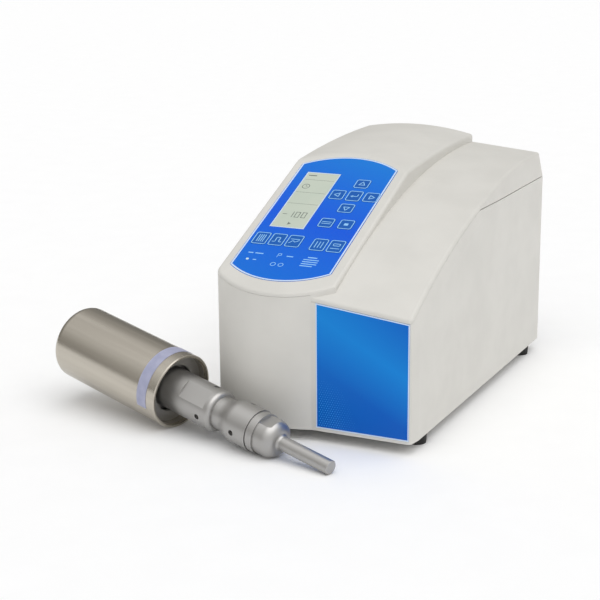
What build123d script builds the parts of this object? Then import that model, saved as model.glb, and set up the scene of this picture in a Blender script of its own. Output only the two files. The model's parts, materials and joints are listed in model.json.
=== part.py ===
from build123d import *
import os
from math import atan, cos, degrees, radians, sin, sqrt, tan

os.makedirs("parts", exist_ok=True)

# Probe sonicator: a bench generator with a slanted keypad, and its handpiece lying in front of it.
# Millimetres. +X is the generator's right side, +Y its back, +Z up, and the bench is z = 0.
# The origin lies on the bench under the middle of the whole set.

# Generator housing
unit_width = 194.0
unit_depth = 351.0
wall = 3.0
fit = 0.3
spine_width = 118.0
bow_margin = 20.0
bow_offset = 3.0
bow_reach = 7.4
keypad_slope = 23.6
crown_height = 217.5
keypad_drop = 92.8
crown_run = 335.0
crown_long_radius = 1300.0
crown_cross_radius = 275.0
crown_offset = 5.0
ridge_drop = 21.9
ridge_front_drop = 107.9
ridge_run = 330.0
shoulder_drop = 7.0
band_inset = 2.0
band_height = 14.0
side_lean = 5.0
corner_radius = 10.0
edge_radius = 3.0
crease_radius = 20.0
rear_edge_radius = 2.0

# Seam between the lower shell and the top cover
seam_drop = 46.0
cover_lip = 3.4
seam_gap = 0.3
seam_reveal = 0.8
tab_count = 3
tab_lead = 80.8
tab_margin = 31.6
tab_width = 18.0
tab_thickness = 2.5
tab_reach = 7.0

# Bottom flange, base pan and feet
flange_width = 9.0
flange_thickness = 2.5
pan_thickness = 1.5
foot_height = 10.5
foot_radius = 8.5
foot_top_radius = 9.5
foot_side = 11.0
foot_front = 37.0
foot_rear = 26.0
foot_recess_radius = 4.6
foot_recess_depth = 5.0
foot_grip = 14.0
vent_length = 56.0
vent_width = 4.0
vent_pitch = 9.0
vent_count = 7
vent_start = 24.0
vent_inset = 58.2

# Screws: shank radius, head radius, head height and the clearance of their holes
screw_radius = 1.9
screw_head_radius = 3.5
screw_head_height = 2.4
screw_clearance = 0.1
head_taper = 12.0
hexagon_share = 0.45
hexagon_depth_share = 0.6
nut_width = 7.0
nut_height = 3.2

# Rear panel
panel_recess = 5.0
panel_thickness = 1.5
boss_size = 10.0
boss_depth = 12.0
screw_margin = 28.0

# How far shanks, cuts and joined pieces run past what they meet
overrun = 1.0

# Front label and keypad overlay; distances on the keypad run up its slope from the label's plane
label_left_margin = 4.64
label_right_margin = 3.5
label_bottom = 3.0
label_thickness = 0.4
label_clearance = 0.6
overlay_left = 9.0
overlay_right_margin = 10.4
overlay_low = 25.5
overlay_high = 189.5
overlay_top_rise = 16.0
overlay_bottom_rise = 17.0
overlay_corner = 3.0
overlay_proud = 0.2
recess_depth = 1.0
art_width = 98.6

# Display: its middle from the overlay's left edge and up the slope; its width is that of the artwork
display_across = 28.7
display_y = 130.9
display_art_width = 34.8
display_height = 90.7
display_ledge = 1.4
module_margin = 2.0
module_thickness = 6.0

# Keys on the artwork: middle from the overlay's left edge and up the slope, width and height
key_artwork = {
    "key_up": (73.0, 163.0, 14.6, 14.0),
    "key_left": (56.0, 143.0, 14.6, 15.0),
    "key_enter": (73.0, 143.0, 14.6, 16.4),
    "key_right": (90.0, 143.0, 14.6, 15.0),
    "key_down": (73.0, 123.0, 14.6, 14.0),
    "key_clear": (63.5, 98.5, 14.2, 14.2),
    "key_store": (83.0, 98.5, 14.2, 14.2),
    "key_time": (12.2, 66.8, 14.8, 18.0),
    "key_pulse": (28.8, 66.8, 14.8, 18.0),
    "key_limit": (45.4, 66.8, 14.8, 18.0),
    "key_test": (70.3, 65.2, 14.8, 18.0),
    "key_start": (86.9, 65.2, 14.8, 18.0),
}
key_corner = 2.5
key_gap = 0.25
key_top = 0.4
key_thickness = 0.8
key_travel = 0.5
stem_radius = 2.9
stem_reach = 4.6
stem_gap = 0.3
dome_radius = 3.0
dome_height = 1.4
dome_gap = 0.1
board_thickness = 1.6
key_board_margin = 1.0
key_board_overhang = 2.4
key_board_low = 50.0
key_board_height = 136.0
window_gap = 0.2
stem_collar_radius = 4.0
stem_collar_thickness = 0.8
post_radius = 3.0
post_screw_radius = 1.2
post_screw_length = 4.6
post_artwork = [
    (3.5, 54.5),
    (57.8, 55.0),
    (96.5, 54.5),
    (3.5, 79.0),
    (56.0, 114.0),
    (57.0, 180.5),
    (95.0, 180.5),
]

# Power electronics on the main board
standoff_height = 10.0
standoff_radius = 3.0
main_board_x = 22.0
main_board_y = 60.0
main_board_width = 150.0
main_board_depth = 210.0
standoff_inset = 6.0
board_screw_length = 7.0
board_head_radius = 2.2
board_head_height = 1.6
pan_head_height = 1.2
heat_sink_x = 63.0
heat_sink_y = 168.0
heat_sink_width = 58.0
heat_sink_depth = 120.0
heat_sink_height = 46.0
heat_sink_base = 4.0
fin_count = 9
fin_thickness = 2.0
transistor_count = 4
transistor_width = 15.8
transistor_height = 20.6
transistor_thickness = 5.0
transistor_pitch = 23.7
lead_length = 6.0
lead_width = 1.4
capacitor_radius = 15.0
capacitor_height = 50.0
capacitor_chamfer = 1.0
capacitor_places = [(130.0, 200.0), (130.0, 236.0)]
tuning_x = 128.0
tuning_y = 92.0
coil_radius = 17.0
coil_wire_radius = 6.5
coil_round = 3.9
core_width = 46.0
core_depth = 22.0
core_height = 40.0
core_limb = 9.0
core_middle_limb = 12.0
core_x = 132.0
core_y = 146.0
coil_corner = 3.0

# Fan, its middle on the rear panel
fan_x = 60.0
fan_drop = 69.5
fan_size = 80.0
fan_depth = 25.0
fan_bore_radius = 38.0
fan_hole_spacing = 71.5
fan_hub_radius = 16.5
fan_blade_radius = 36.4
fan_blade_count = 7
fan_shaft_radius = 1.5
fan_shaft_clearance = 0.06
fan_shaft_setback = 2.0
fan_plate = 3.0
fan_corner = 5.0
fan_rotor_depth = 20.0
fan_rotor_gap = 1.0
fan_hub_wall = 2.0
fan_tube_radius = 4.0
fan_tube_length = 18.0
fan_blade_chord = 22.0
fan_blade_thickness = 1.4
fan_blade_pitch = 40.0
fan_strut_width = 4.0
guard_wire_radius = 0.9
guard_ring_radii = (12.0, 20.0, 28.0, 36.0)
guard_lug_radius = 4.6

# Sockets and switch on the rear panel, by their middles
inlet_x = 148.0
inlet_z = 44.0
inlet_flange_width = 48.0
inlet_flange_height = 26.0
inlet_flange_thickness = 2.5
inlet_body_width = 28.0
inlet_body_height = 20.6
inlet_body_depth = 20.0
inlet_cavity_width = 24.2
inlet_cavity_height = 16.6
inlet_cavity_depth = 18.0
inlet_corner = 3.0
pin_length = 12.0
pin_width = 2.0
pin_height = 4.0
pin_spread = 7.0
pin_rise = 2.0
switch_x = 148.0
switch_z = 88.0
switch_flange_width = 18.0
switch_flange_height = 25.0
switch_flange_thickness = 1.8
switch_body_width = 15.6
switch_body_height = 22.0
switch_body_depth = 18.0
switch_corner = 1.0
rocker_width = 12.4
rocker_radius = 9.2
rocker_face = 3.0
rocker_back = 2.5
rocker_pivot_back = 2.0
rocker_gap = 0.35
rocker_tilt = 10.0
rocker_pivot_radius = 1.5
rocker_pivot_clearance = 0.06
socket_x = 40.0
socket_z = 50.0
socket_flange = 22.0
socket_corner = 2.0
socket_screw_spacing = 16.0
socket_screw_length = 9.0
inlet_screw_spacing = 40.0
socket_flange_thickness = 2.0
socket_barrel_radius = 7.5
socket_barrel_wall = 1.5
socket_barrel_length = 12.0
socket_core_radius = 3.8
socket_core_setback = 1.0
socket_contact_radius = 1.0
socket_lug_radius = 1.0
socket_lug_reach = 1.2
socket_tail_radius = 6.0
socket_tail_length = 12.0
remote_x = 92.0
remote_z = 50.0
remote_flange_width = 31.0
remote_flange_height = 12.5
remote_flange_thickness = 1.0
remote_corner = 1.0
remote_side_angle = 80.0
remote_shell_width = 17.0
remote_shell_height = 8.6
remote_shell_reach = 5.5
remote_tail_depth = 10.0
remote_post_spacing = 25.0
remote_post_radius = 2.4
remote_thread_radius = 1.4
remote_pin_pitch = 2.76
remote_pin_radius = 0.6
stud_x = 92.0
stud_z = 22.0
stud_radius = 2.0
stud_length = 16.0

# Handpiece: radii, and distances along its axis from the front rim of the case
case_radius = 34.5
case_length = 138.5
case_wall = 3.0
case_rear_wall = 4.0
case_round = 8.0
rim_chamfer = 0.8
rim_wall = 2.2
rim_depth = 3.0
recess_floor = 17.0
retaining_thickness = 4.0
retaining_hole_radius = 22.0
ring_wire_radius = 1.5
ring_middle_radius = 27.6
driver_flange_thickness = 5.0
driver_flange_radius = 30.5
driver_rear = 16.0
neck_radius = 19.05
neck_length = 44.5
flat_depth = 2.05
flat_start = 14.0
flat_angle = 45.0
spanner_radius = 2.6
spanner_depth = 6.0
spanner_from_front = 6.2
spanner_spread = 58.0
piezo_radius = 19.0
piezo_bore_radius = 6.5
piezo_thickness = 5.0
piezo_count = 4
electrode_thickness = 0.3
electrode_tab = 5.0
tail_radius = 19.0
tail_length = 35.0
bolt_radius = 4.9
bolt_clearance = 0.1
bolt_head_radius = 8.0
bolt_head_height = 8.0
bolt_grip = 13.0
case_shoulder_radius = 25.0
case_shoulder_thickness = 3.0
case_socket_hole = 6.3
case_socket_flange_radius = 10.0
band_start = 10.0
band_width = 11.5
band_thickness = 0.3
band_first_angle = -60.0
band_angle = 170.0

# Horn and tip
stud_thread_radius = 6.2
thread_clearance = 0.05
stud_thread_depth = 18.5
stud_end_gap = 0.5
slot_width = 4.0
collar_length = 3.2
waist_radius = 14.9
waist_length = 6.0
flare_length = 17.0
body_length = 20.5
groove_width = 0.8
groove_depth = 0.7
nose_collar_radius = 18.4
nose_collar_length = 7.0
nose_radius = 17.2
nose_straight = 9.2
nose_dome_radius = 9.5
rod_radius = 6.35
rod_fillet = 2.5
horn_flat_depth = 2.0
horn_flat_angle = 8.0
horn_flat_length = 13.0
horn_spanner_place = 80.0
horn_spanner_angle = 98.0
tip_length = 6.5
tip_chamfer = 0.6
tip_stub_radius = 4.0
tip_stub_length = 10.0
probe_length = 177.6

# Where the handpiece lies: its rim's middle from the generator's front left corner, and its heading
rim_x = -20.7
rim_y = -16.9
heading = -15.93

# The case's rim and the tip both rest on the bench, which sets the nose-down tilt
tilt = atan((case_radius - rod_radius) / (probe_length - tip_chamfer + rim_chamfer))
rim_z = case_radius * cos(tilt) - rim_chamfer * sin(tilt)
toward_tip = (cos(tilt) * cos(radians(heading)), cos(tilt) * sin(radians(heading)), -sin(tilt))

# The set's reach from the generator's front left corner, and the corner's place that centres it
case_reach = case_length + socket_flange_thickness + socket_barrel_length
left_reach = rim_x - case_reach * toward_tip[0] - socket_barrel_radius * sqrt(1 - toward_tip[0] ** 2)
front_reach = (
    rim_y
    + (probe_length - tip_chamfer) * toward_tip[1]
    - rod_radius * sqrt(1 - toward_tip[1] ** 2)
)
panel_face = unit_depth - panel_recess
rear_reach = panel_face + socket_flange_thickness + socket_barrel_length
unit_left = -(unit_width + left_reach) / 2
unit_front = -(rear_reach + front_reach) / 2

# Forms that are only cut with reach this far below and above the housing
deep = 150.0
tall = 260.0

# Heights, lengths and radii that several pieces share
keypad_front_height = crown_height - keypad_drop
ridge_height = crown_height - ridge_drop
ridge_front_height = crown_height - ridge_front_drop
seam_height = crown_height - seam_drop
fan_z = crown_height - fan_drop
bow_radius = spine_width - bow_margin
bow_middle = spine_width / 2 + bow_offset
crown_middle = spine_width / 2 - crown_offset
panel_back = panel_face - panel_thickness
pan_top = flange_thickness + pan_thickness
board_low = pan_top + standoff_height
board_top = board_low + board_thickness
ridge_rise = ridge_height - ridge_front_height
ridge_radius = (ridge_run**2 + ridge_rise**2) / (2 * ridge_rise)
shoulder_slope = shoulder_drop / (unit_width - spine_width)
bow_centre = bow_radius - bow_reach
keypad_rate = tan(radians(keypad_slope))
overlay_width = spine_width - overlay_left - overlay_right_margin
overlay_middle = overlay_left + overlay_width / 2

# The artwork is stretched to the overlay's width, and what lies behind it follows
stretch = overlay_width / art_width
display_x = overlay_left + display_across * stretch
display_width = display_art_width * stretch
key_places = {
    name: (overlay_left + across * stretch, y, width * stretch, height)
    for name, (across, y, width, height) in key_artwork.items()
}
post_places = [(overlay_left + across * stretch, y) for across, y in post_artwork]
key_board_left = overlay_left - key_board_margin
key_board_width = overlay_width + key_board_margin + key_board_overhang


def level(z):
    """Horizontal sketch plane at height z above the housing's underside"""
    return Plane(origin=(unit_left, unit_front, foot_height + z))


def facing(y):
    """Upright sketch plane across the generator, seen from the front, at depth y"""
    return Plane(origin=(unit_left, unit_front + y, foot_height), x_dir=(1, 0, 0), z_dir=(0, -1, 0))


def side(x):
    """Upright sketch plane along the generator at x, with depth as its first axis"""
    return Plane(origin=(unit_left + x, unit_front, foot_height), x_dir=(0, 1, 0), z_dir=(1, 0, 0))


def pad(n):
    """Sketch plane parallel to the keypad, n above its face"""
    normal = Vector(0, -sin(radians(keypad_slope)), cos(radians(keypad_slope)))
    start = Vector(unit_left, unit_front, foot_height + keypad_front_height)
    return Plane(origin=start + normal * n, x_dir=(1, 0, 0), z_dir=normal)


def keypad_z(y):
    """Height of the keypad's face at depth y"""
    return keypad_front_height + y * keypad_rate


def crown_z(x, y):
    """Height of the spine's crowned top"""
    across = crown_cross_radius - sqrt(crown_cross_radius**2 - (x - crown_middle) ** 2)
    along = crown_long_radius - sqrt(crown_long_radius**2 - (y - crown_run) ** 2)
    return crown_height - across - along


def shoulder_z(x, y):
    """Height of the sloping shoulder"""
    radius = ridge_radius + (unit_width - x) * shoulder_slope
    return ridge_height - ridge_radius + sqrt(radius**2 - (y - ridge_run) ** 2)


def bow_y(x, inset=0.0):
    """Depth of the bowed front, moved inwards by inset"""
    return bow_centre - sqrt((bow_radius - inset) ** 2 - (x - bow_middle) ** 2)


def crease_x(inset=0.0):
    """Where the bowed front meets the flat label panel"""
    return bow_middle + sqrt((bow_radius - inset) ** 2 - (bow_centre - inset) ** 2)


def housing_plan(inset, rear):
    """Outline of the housing seen from above, moved inwards by inset and cut off at the depth rear"""
    with BuildSketch() as plan:
        with BuildLine():
            ThreePointArc(
                (inset, bow_y(inset, inset)), (bow_middle, inset - bow_reach), (crease_x(inset), inset)
            )
            Polyline(
                (crease_x(inset), inset),
                (unit_width - band_inset - inset, inset),
                (unit_width - inset, inset + band_height),
                (unit_width - inset, rear),
                (inset, rear),
                (inset, bow_y(inset, inset)),
            )
        make_face()
    return plan.sketch


def spine_form(inset):
    """The tall left part: under the keypad's plane and the crowned top, behind the bowed front"""
    sunk = inset / cos(radians(keypad_slope))
    with BuildPart() as slope:
        with BuildSketch(side(-1)):
            with BuildLine():
                Polyline(
                    (-tall, -deep),
                    (2 * tall, -deep),
                    (2 * tall, keypad_z(2 * tall) - sunk),
                    (-tall, keypad_z(-tall) - sunk),
                    close=True,
                )
            make_face()
        extrude(amount=1 + spine_width - inset)
    with BuildPart() as bow:
        with BuildSketch(level(-deep)):
            with BuildLine():
                ThreePointArc(
                    (inset, bow_y(inset, inset)),
                    (bow_middle, inset - bow_reach),
                    (spine_width, bow_y(spine_width, inset)),
                )
                Polyline(
                    (spine_width, bow_y(spine_width, inset)),
                    (spine_width, 2 * unit_depth),
                    (inset, 2 * unit_depth),
                    (inset, bow_y(inset, inset)),
                )
            make_face()
        extrude(amount=deep + tall)
    radius = crown_cross_radius - inset
    left_z = crown_height - crown_cross_radius + sqrt(radius**2 - crown_middle**2)
    right_z = crown_height - crown_cross_radius + sqrt(radius**2 - (spine_width - crown_middle) ** 2)
    with BuildPart() as crown:
        with BuildSketch(facing(crown_run)):
            with BuildLine():
                ThreePointArc((0, left_z), (crown_middle, crown_height - inset), (spine_width, right_z))
                Polyline((spine_width, right_z), (spine_width, -deep), (0, -deep), (0, left_z))
            make_face()
        crown_axis_point = facing(crown_run).from_local_coords((0, crown_height - crown_long_radius, 0))
        revolve(axis=Axis(crown_axis_point, (1, 0, 0)))
    return slope.part & bow.part & crown.part


def shoulder_form(inset, drop=0.0, band=True):
    """What lies under the shoulder, which is part of a wide cone, and under its band at the right edge"""
    start = crease_x(inset)
    end = unit_width - inset
    low = ridge_height - inset - drop

    def top(x):
        return low + (unit_width - x) * shoulder_slope

    edge = [(end, low - band_height), (end - band_inset, top(end - band_inset))]
    plain = [(end + wall, top(end + wall))]
    outer_points = edge if band else plain
    with BuildPart() as form:
        with BuildSketch(facing(ridge_run)):
            with BuildLine():
                Polyline(
                    (start, -deep),
                    (outer_points[0][0], -deep),
                    *outer_points,
                    (start, top(start)),
                    close=True,
                )
            make_face()
        shoulder_axis_point = facing(ridge_run).from_local_coords((0, ridge_height - ridge_radius, 0))
        revolve(axis=Axis(shoulder_axis_point, (1, 0, 0)))
    return form.part


def housing_form(inset, rear, bottom):
    """The housing as one solid, its faces moved inwards by inset, from the height bottom to the top"""
    edge = unit_width - inset
    lean = side_lean * (tall - seam_height) / (ridge_height - seam_height)
    with BuildPart() as form:
        with BuildSketch(level(bottom)):
            add(housing_plan(inset, rear))
        extrude(amount=tall)
        add(spine_form(inset) + shoulder_form(inset), mode=Mode.INTERSECT)
        with BuildSketch(facing(rear + wall)):
            with BuildLine():
                Polyline(
                    (edge, seam_height),
                    (edge - lean, tall),
                    (edge + lean, tall),
                    (edge + lean, seam_height),
                    close=True,
                )
            make_face()
        extrude(amount=rear + tall, mode=Mode.SUBTRACT)
    return form.part


def parting_form(lip, seam):
    """What lies under the seam: lip below the keypad and the shoulder, and level towards the back"""
    turn = (seam + lip - keypad_front_height) / keypad_rate
    with BuildPart() as left:
        with BuildSketch(side(-wall)):
            with BuildLine():
                Polyline(
                    (-tall, -wall),
                    (2 * unit_depth, -wall),
                    (2 * unit_depth, seam),
                    (turn, seam),
                    (-tall, keypad_z(-tall) - lip),
                    close=True,
                )
            make_face()
        extrude(amount=wall + crease_x())
    with BuildPart() as right:
        with BuildSketch(side(crease_x())):
            with BuildLine():
                Polyline(
                    (-tall, -wall),
                    (2 * unit_depth, -wall),
                    (2 * unit_depth, seam),
                    (-tall, seam),
                    close=True,
                )
            make_face()
        extrude(amount=unit_width)
        add(shoulder_form(0.0, drop=lip, band=False), mode=Mode.INTERSECT)
    return left.part + right.part


def in_unit(x, y, z):
    """Point given from the generator's front left bottom corner"""
    return Vector(unit_left + x, unit_front + y, foot_height + z)


def edges_near(part, *points):
    """The part's edges that lie nearest to points given from the generator's front left bottom corner"""
    return [
        min(part.edges(), key=lambda edge: edge.distance_to(in_unit(*point)))
        for point in points
    ]


def screw(
    place, direction, length, radius=screw_radius, head_radius=screw_head_radius, head=screw_head_height
):
    """A screw: its head's underside at place, its shank running along direction, a hexagon in its head"""
    with BuildPart() as item:
        with BuildSketch(Plane(origin=place, z_dir=direction)):
            Circle(radius)
        extrude(amount=length)
        with BuildSketch(Plane(origin=place, z_dir=-direction)):
            Circle(head_radius)
        extrude(amount=head, taper=head_taper)
        with BuildSketch(Plane(origin=place - direction * head, z_dir=direction)):
            RegularPolygon(head_radius * hexagon_share, 6)
        extrude(amount=head * hexagon_depth_share, mode=Mode.SUBTRACT)
    return item.part


# Outer form with its rounded edges
with BuildPart() as outer_form:
    add(housing_form(0.0, unit_depth, 0.0))
    half = unit_depth / 2
    crown_start = (crown_height - keypad_front_height) / keypad_rate
    fillet(edges_near(outer_form.part, (0, bow_y(0), half / 3)), corner_radius)
    fillet(edges_near(outer_form.part, (unit_width - band_inset, 0, half / 3)), edge_radius)
    fillet(
        edges_near(
            outer_form.part,
            (unit_width - band_inset, ridge_run / 3, shoulder_z(unit_width, ridge_run / 3)),
            (unit_width - side_lean, ridge_run * 0.8, shoulder_z(unit_width, ridge_run * 0.8)),
        ),
        edge_radius,
    )
    label_middle = (crease_x() + unit_width) / 2
    fillet(edges_near(outer_form.part, (label_middle, 0, shoulder_z(label_middle, 0))), edge_radius)
    fillet(edges_near(outer_form.part, (crown_middle, crown_start, crown_height)), crease_radius)
    fillet(
        edges_near(
            outer_form.part,
            (0, half / 2, keypad_z(half / 2)),
            (0, 2 * half - corner_radius, crown_z(0, 2 * half - corner_radius)),
            (bow_middle, -bow_reach, keypad_z(-bow_reach)),
            (spine_width - wall, bow_y(spine_width - wall), keypad_z(bow_y(spine_width - wall))),
            (spine_width, half / 2, keypad_z(half / 2)),
            (spine_width, 2 * half - corner_radius, crown_z(spine_width, 2 * half - corner_radius)),
        ),
        edge_radius,
    )

with BuildPart() as shell_form:
    add(outer_form.part)
    add(housing_form(wall, unit_depth + wall, -wall), mode=Mode.SUBTRACT)

foot_places = [
    (x, y)
    for x in (foot_side, unit_width - foot_side)
    for y in (foot_front, unit_depth - foot_rear)
]
panel_screw_places = [
    (x, z)
    for x in (wall + boss_size / 2, unit_width - wall - boss_size / 2)
    for z in (screw_margin, seam_height - 2 * boss_size)
]
cover_screw_places = [
    (x, crown_z(x, unit_depth) - wall - boss_size / 2)
    for x in (wall + 2 * boss_size, spine_width - 2 * boss_size)
]

# Lower shell: front, sides and the flange that the base pan stands on
with BuildPart() as lower_shell:
    add(shell_form.part)
    add(parting_form(cover_lip, seam_height), mode=Mode.INTERSECT)
    with BuildSketch(level(0)):
        add(housing_plan(wall / 2, unit_depth))
        add(housing_plan(wall + flange_width, unit_depth - flange_width), mode=Mode.SUBTRACT)
    extrude(amount=flange_thickness)
    with BuildSketch(level(0)):
        with Locations(*foot_places):
            Circle(foot_top_radius)
    extrude(amount=flange_thickness)
    with BuildSketch(level(-wall)):
        with Locations(*foot_places):
            Circle(screw_radius + screw_clearance)
    extrude(amount=2 * wall + flange_thickness, mode=Mode.SUBTRACT)
    with BuildSketch(facing(panel_back)):
        for x, z in panel_screw_places:
            with Locations((x, z)):
                Rectangle(boss_size + wall, boss_size)
    extrude(amount=boss_depth)
    with BuildSketch(facing(panel_back)):
        with Locations(*panel_screw_places):
            Circle(screw_radius + screw_clearance)
    extrude(amount=boss_depth - wall, mode=Mode.SUBTRACT)
lower_shell.part.label = "lower_shell"
export_step(lower_shell.part, "parts/lower_shell.step")


def overlay_outline(grow):
    """The overlay's outline: straight sides with a bowed top and bottom, grown outwards by grow"""
    left = overlay_left - grow
    right = overlay_left + overlay_width + grow
    with BuildSketch() as outline:
        with BuildLine():
            Line((left, overlay_low), (left, overlay_high))
            ThreePointArc(
                (left, overlay_high),
                (overlay_middle, overlay_high + overlay_top_rise + grow),
                (right, overlay_high),
            )
            Line((right, overlay_high), (right, overlay_low))
            ThreePointArc(
                (right, overlay_low),
                (overlay_middle, overlay_low - overlay_bottom_rise - grow),
                (left, overlay_low),
            )
        make_face()
        fillet(outline.vertices(), overlay_corner + grow)
    return outline.sketch


# Top cover: keypad wall, crowned spine and shoulder, with tabs that locate it in the lower shell
tab_start = ridge_run - tab_lead
tab_end = unit_depth - tab_margin
with BuildPart() as top_cover:
    add(shell_form.part)
    add(parting_form(cover_lip - seam_gap, seam_height + seam_reveal), mode=Mode.SUBTRACT)
    with BuildSketch(pad(-recess_depth)):
        add(overlay_outline(key_gap))
    extrude(amount=recess_depth + wall, mode=Mode.SUBTRACT)
    with BuildSketch(pad(-2 * wall)):
        with Locations((display_x, display_y)):
            Rectangle(display_width - 2 * display_ledge, display_height - 2 * display_ledge)
    extrude(amount=3 * wall, mode=Mode.SUBTRACT)
    with BuildSketch(pad(-2 * wall)):
        for x, y, width, height in key_places.values():
            with Locations((x, y)):
                Circle(stem_radius + stem_gap)
    extrude(amount=3 * wall, mode=Mode.SUBTRACT)
    with BuildSketch(pad(-(recess_depth + wall) / 2)):
        with Locations(*post_places):
            Circle(post_radius)
    extrude(amount=-(stem_reach + key_travel + dome_gap + dome_height - (recess_depth + wall) / 2))
    with BuildSketch(pad(-wall)):
        with Locations(*post_places):
            Circle(post_screw_radius + screw_clearance)
    extrude(amount=-3 * wall, mode=Mode.SUBTRACT)
    for step in range(tab_count):
        tab_y = tab_start + step * (tab_end - tab_start) / (tab_count - 1)
        for inner_x, sign in ((wall, 1), (unit_width - wall, -1)):
            middle = inner_x + sign * (fit + tab_thickness / 2)
            root = inner_x + sign * tab_thickness / 2
            with BuildSketch(level(seam_height - tab_reach)):
                with Locations((middle, tab_y)):
                    Rectangle(tab_thickness, tab_width)
            extrude(amount=tab_reach + wall)
            with BuildSketch(level(seam_height + 2 * seam_reveal)):
                with Locations((root, tab_y)):
                    Rectangle(tab_thickness + 2 * fit, tab_width)
            extrude(amount=tab_reach)
    for x, z in cover_screw_places:
        with BuildSketch(facing(panel_back)):
            with Locations((x, z + boss_size / 4)):
                Rectangle(boss_size, 1.5 * boss_size)
        extrude(amount=boss_depth)
    add(outer_form.part, mode=Mode.INTERSECT)
    with BuildSketch(facing(panel_back)):
        with Locations(*cover_screw_places):
            Circle(screw_radius + screw_clearance)
    extrude(amount=boss_depth - wall, mode=Mode.SUBTRACT)
    fillet(edges_near(top_cover.part, (crown_middle, unit_depth, crown_height)), rear_edge_radius / 2)
top_cover.part.label = "top_cover"
export_step(top_cover.part, "parts/top_cover.step")

# Base pan with vent slots, standing on the flange
main_board_right = main_board_x + main_board_width
main_board_back = main_board_y + main_board_depth
standoff_places = [
    (x, y)
    for x in (main_board_x + standoff_inset, main_board_right - standoff_inset)
    for y in (
        main_board_y + standoff_inset,
        main_board_y + main_board_depth / 2,
        main_board_back - standoff_inset,
    )
]
with BuildPart() as base_pan:
    with BuildSketch(level(flange_thickness)):
        add(housing_plan(wall + fit, panel_back))
        with Locations(*foot_places):
            Circle(screw_radius + screw_clearance, mode=Mode.SUBTRACT)
        with Locations(*standoff_places):
            Circle(post_screw_radius + screw_clearance, mode=Mode.SUBTRACT)
        for x in (vent_inset, unit_width - vent_inset):
            for row in range(vent_count):
                with Locations((x, main_board_y + vent_start + row * vent_pitch)):
                    SlotOverall(vent_length, vent_width, mode=Mode.SUBTRACT)
    extrude(amount=pan_thickness)
base_pan.part.label = "base_pan"
export_step(base_pan.part, "parts/base_pan.step")

# Rubber feet and the screws and nuts that hold them
with BuildPart() as feet:
    with BuildSketch(level(-foot_height)):
        with Locations(*foot_places):
            Circle(foot_radius)
    extrude(amount=foot_height, taper=-degrees(atan((foot_top_radius - foot_radius) / foot_height)))
    with BuildSketch(level(-foot_height)):
        with Locations(*foot_places):
            Circle(foot_recess_radius)
    extrude(amount=foot_recess_depth, mode=Mode.SUBTRACT)
    with BuildSketch(level(-foot_height)):
        with Locations(*foot_places):
            Circle(screw_radius + screw_clearance)
    extrude(amount=foot_height, mode=Mode.SUBTRACT)
feet.part.label = "feet"
export_step(feet.part, "parts/feet.step")

up = Vector(0, 0, 1)
back = Vector(0, 1, 0)
with BuildPart() as foot_screws:
    for x, y in foot_places:
        add(screw(in_unit(x, y, foot_recess_depth - foot_height), up, foot_grip))
        with BuildSketch(level(pan_top)):
            with Locations((x, y)):
                RegularPolygon(nut_width / 2, 6, major_radius=False)
        extrude(amount=nut_height)
foot_screws.part.label = "foot_screws"
export_step(foot_screws.part, "parts/foot_screws.step")

# Rear panel with its openings, standing on the flange against the bosses
fan_corners = [
    (fan_x + i * fan_hole_spacing / 2, fan_z + j * fan_hole_spacing / 2) for i in (-1, 1) for j in (-1, 1)
]
socket_corners = [
    (socket_x + i * socket_screw_spacing / 2, socket_z + j * socket_screw_spacing / 2)
    for i in (-1, 1)
    for j in (-1, 1)
]
inlet_corners = [(inlet_x + i * inlet_screw_spacing / 2, inlet_z) for i in (-1, 1)]
remote_posts = [(remote_x + i * remote_post_spacing / 2, remote_z) for i in (-1, 1)]
with BuildPart() as rear_panel:
    add(housing_form(wall + fit, panel_face, flange_thickness))
    with BuildSketch(facing(panel_face)):
        with Locations((unit_width / 2, tall / 2)):
            Rectangle(unit_width, tall)
    extrude(amount=panel_thickness, mode=Mode.INTERSECT)
    with BuildSketch(facing(panel_face + wall)):
        with Locations((fan_x, fan_z)):
            Circle(fan_bore_radius)
        with Locations(*fan_corners, *panel_screw_places, *cover_screw_places):
            Circle(screw_radius + screw_clearance)
        with Locations(*socket_corners, *inlet_corners):
            Circle(screw_radius + screw_clearance)
        with Locations((inlet_x, inlet_z)):
            RectangleRounded(inlet_body_width + fit, inlet_body_height + fit, inlet_corner)
        with Locations((switch_x, switch_z)):
            Rectangle(switch_body_width + fit, switch_body_height + fit)
        with Locations((socket_x, socket_z)):
            Circle(socket_tail_radius + fit)
        with Locations((remote_x, remote_z)):
            RectangleRounded(remote_shell_width + fit, remote_shell_height + fit, inlet_corner / 2)
        with Locations(*remote_posts):
            Circle(remote_thread_radius + screw_clearance)
        with Locations((stud_x, stud_z)):
            Circle(stud_radius + screw_clearance)
    extrude(amount=3 * wall, mode=Mode.SUBTRACT)
rear_panel.part.label = "rear_panel"
export_step(rear_panel.part, "parts/rear_panel.step")

# Screws through the rear panel into the bosses, and those that hold its sockets
with BuildPart() as panel_screws:
    for x, z in panel_screw_places + cover_screw_places:
        add(screw(in_unit(x, panel_face, z), -back, panel_thickness + boss_depth - wall - overrun))
    for x, z in inlet_corners:
        add(screw(in_unit(x, panel_face + inlet_flange_thickness, z), -back, socket_screw_length))
    for x, z in socket_corners:
        add(screw(in_unit(x, panel_face + socket_flange_thickness, z), -back, socket_screw_length))
    with BuildSketch(facing(panel_back)):
        with Locations(*inlet_corners, *socket_corners):
            RegularPolygon(nut_width / 2, 6, major_radius=False)
    extrude(amount=nut_height)
panel_screws.part.label = "panel_screws"
export_step(panel_screws.part, "parts/panel_screws.step")

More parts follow.
